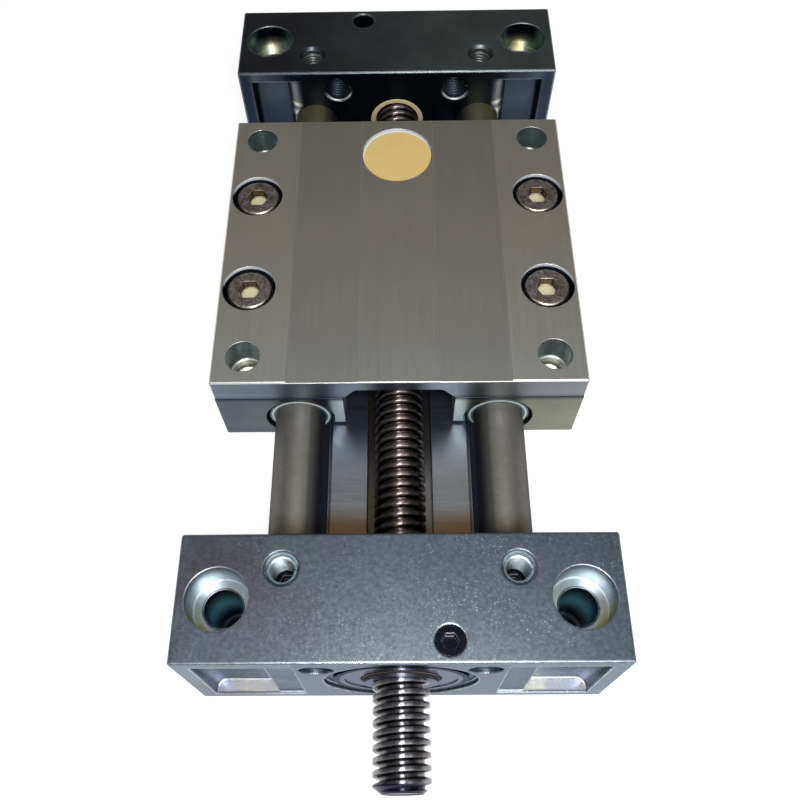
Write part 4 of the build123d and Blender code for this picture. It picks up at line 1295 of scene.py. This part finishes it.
def light_world(scene):
    """Light the room with one sky behind the object and a paler one in front of it."""
    world = bpy.data.worlds.new("studio_world")
    scene.world = world
    world.use_nodes = True
    tree = world.node_tree
    parts = tree.nodes.new("ShaderNodeSeparateXYZ")
    heading = tree.nodes.new("ShaderNodeTexCoord").outputs["Generated"]
    tree.links.new(heading, parts.inputs[0])
    skies = []
    for heights in (BACK_SKY, FRONT_SKY):
        sky = tree.nodes.new("ShaderNodeValToRGB")
        tree.links.new(parts.outputs["Z"], sky.inputs[0])
        while len(sky.color_ramp.elements) < len(heights):
            sky.color_ramp.elements.new(0.5)
        for element, (at, level) in zip(sky.color_ramp.elements, heights):
            element.position = at
            element.color = (*(level * part for part in SKY_TINT), 1)
        skies.append(sky.outputs["Color"])
    turn = tree.nodes.new("ShaderNodeMapRange")
    turn.interpolation_type = "SMOOTHSTEP"
    tree.links.new(parts.outputs["Y"], turn.inputs["Value"])
    for key, value in zip(("From Min", "From Max"), SKY_TURN):
        turn.inputs[key].default_value = value
    blend = tree.nodes.new("ShaderNodeMix")
    blend.data_type = "RGBA"
    tree.links.new(turn.outputs["Result"], blend.inputs[0])
    tree.links.new(skies[0], blend.inputs[6])
    tree.links.new(skies[1], blend.inputs[7])
    tree.links.new(blend.outputs[2], tree.nodes["Background"].inputs["Color"])


def lay_floor(studio, dark):
    """Lay a pale floor with a painted shadow: dark between the shafts, and not whitened under the blocks.
    """
    deselect()
    bpy.ops.mesh.primitive_plane_add(size=20)
    floor = bpy.context.object
    floor.name = "studio_floor"
    paint = Finish("floor_paint")
    # Painted shadow under the blocks and between the shafts
    under_blocks = paint.times(
        paint.below(paint.aside, block_high.x - 5 * MM, 5 * MM),
        paint.within(paint.along, -block_high.y + 3 * MM, -block_low.y - 3 * MM, 2 * MM),
    )
    between_shafts = paint.times(
        paint.below(paint.aside, clamp_x - 2 * MM, 6 * MM),
        paint.below(paint.along, -block_high.y + 4 * MM, 4 * MM),
    )
    floor_shadow = paint.maths("MAXIMUM", under_blocks, between_shafts)
    shade = paint.mix(between_shafts, (studio.floor_paint,) * 3, dark)
    paint.paint(shade, roughness=0.9, metallic=0.0)
    rays = paint.add("ShaderNodeLightPath").outputs
    seen = paint.maths("MAXIMUM", rays["Is Camera Ray"], rays["Is Glossy Ray"])
    seen = paint.maths("MAXIMUM", seen, rays["Is Transmission Ray"])
    seen = paint.times(seen, paint.inverse(floor_shadow))
    paint.feed(paint.shader.inputs["Emission Color"], (1, 1, 1))
    paint.feed(paint.shader.inputs["Emission Strength"], paint.times(seen, studio.floor_glow))
    floor.data.materials.append(paint.material)


def hang_lamp(place, size, power):
    """Hang a square lamp at a place, turned to the middle of the mounting plane."""
    deselect()
    bpy.ops.object.light_add(type="AREA", location=place)
    lamp = bpy.context.object
    lamp.data.size = size
    lamp.data.energy = power
    lamp.rotation_euler = (-lamp.location).to_track_quat("-Z", "Y").to_euler()


class STAGE_OT_studio(bpy.types.Operator):
    """Set up the camera, the world, the floor and the lamps"""

    bl_idname = "stage.studio"
    bl_label = "Studio"

    def execute(self, context):
        scene = context.scene
        studio = scene.stage_studio
        scene.view_settings.view_transform = "Standard"
        aim_camera(scene, studio)
        light_world(scene)
        # The floor's painted shadow takes the navy painted shade
        lay_floor(studio, scene.stage_finishes.navy_shade)
        hang_lamp(studio.flash_place, studio.flash_size, studio.flash_power)
        hang_lamp(studio.lamp_place, studio.lamp_size, studio.lamp_power)
        return {"FINISHED"}


class STAGE_PT_panel(bpy.types.Panel):
    """Lists the steps that dress the stage"""

    bl_label = "Stage"
    bl_idname = "STAGE_PT_panel"
    bl_space_type = "VIEW_3D"
    bl_region_type = "UI"
    bl_category = "Stage"

    def draw(self, context):
        for step in STEPS:
            self.layout.operator(step.bl_idname)


STEPS = (STAGE_OT_finishes, STAGE_OT_lead_screw, STAGE_OT_hole_threads, STAGE_OT_studio)
CLASSES = (ThreadSettings, FormSettings, FinishSettings, StudioSettings, *STEPS, STAGE_PT_panel)


def register():
    for entry in CLASSES:
        bpy.utils.register_class(entry)
    bpy.types.Scene.stage_threads = bpy.props.PointerProperty(type=ThreadSettings)
    bpy.types.Scene.stage_forms = bpy.props.PointerProperty(type=FormSettings)
    bpy.types.Scene.stage_finishes = bpy.props.PointerProperty(type=FinishSettings)
    bpy.types.Scene.stage_studio = bpy.props.PointerProperty(type=StudioSettings)


def unregister():
    del bpy.types.Scene.stage_studio
    del bpy.types.Scene.stage_finishes
    del bpy.types.Scene.stage_forms
    del bpy.types.Scene.stage_threads
    for entry in reversed(CLASSES):
        bpy.utils.unregister_class(entry)


def main():
    register()
    bpy.ops.stage.finishes()
    bpy.ops.stage.lead_screw()
    bpy.ops.stage.hole_threads()
    bpy.ops.stage.studio()


if __name__ == "__main__":
    main()
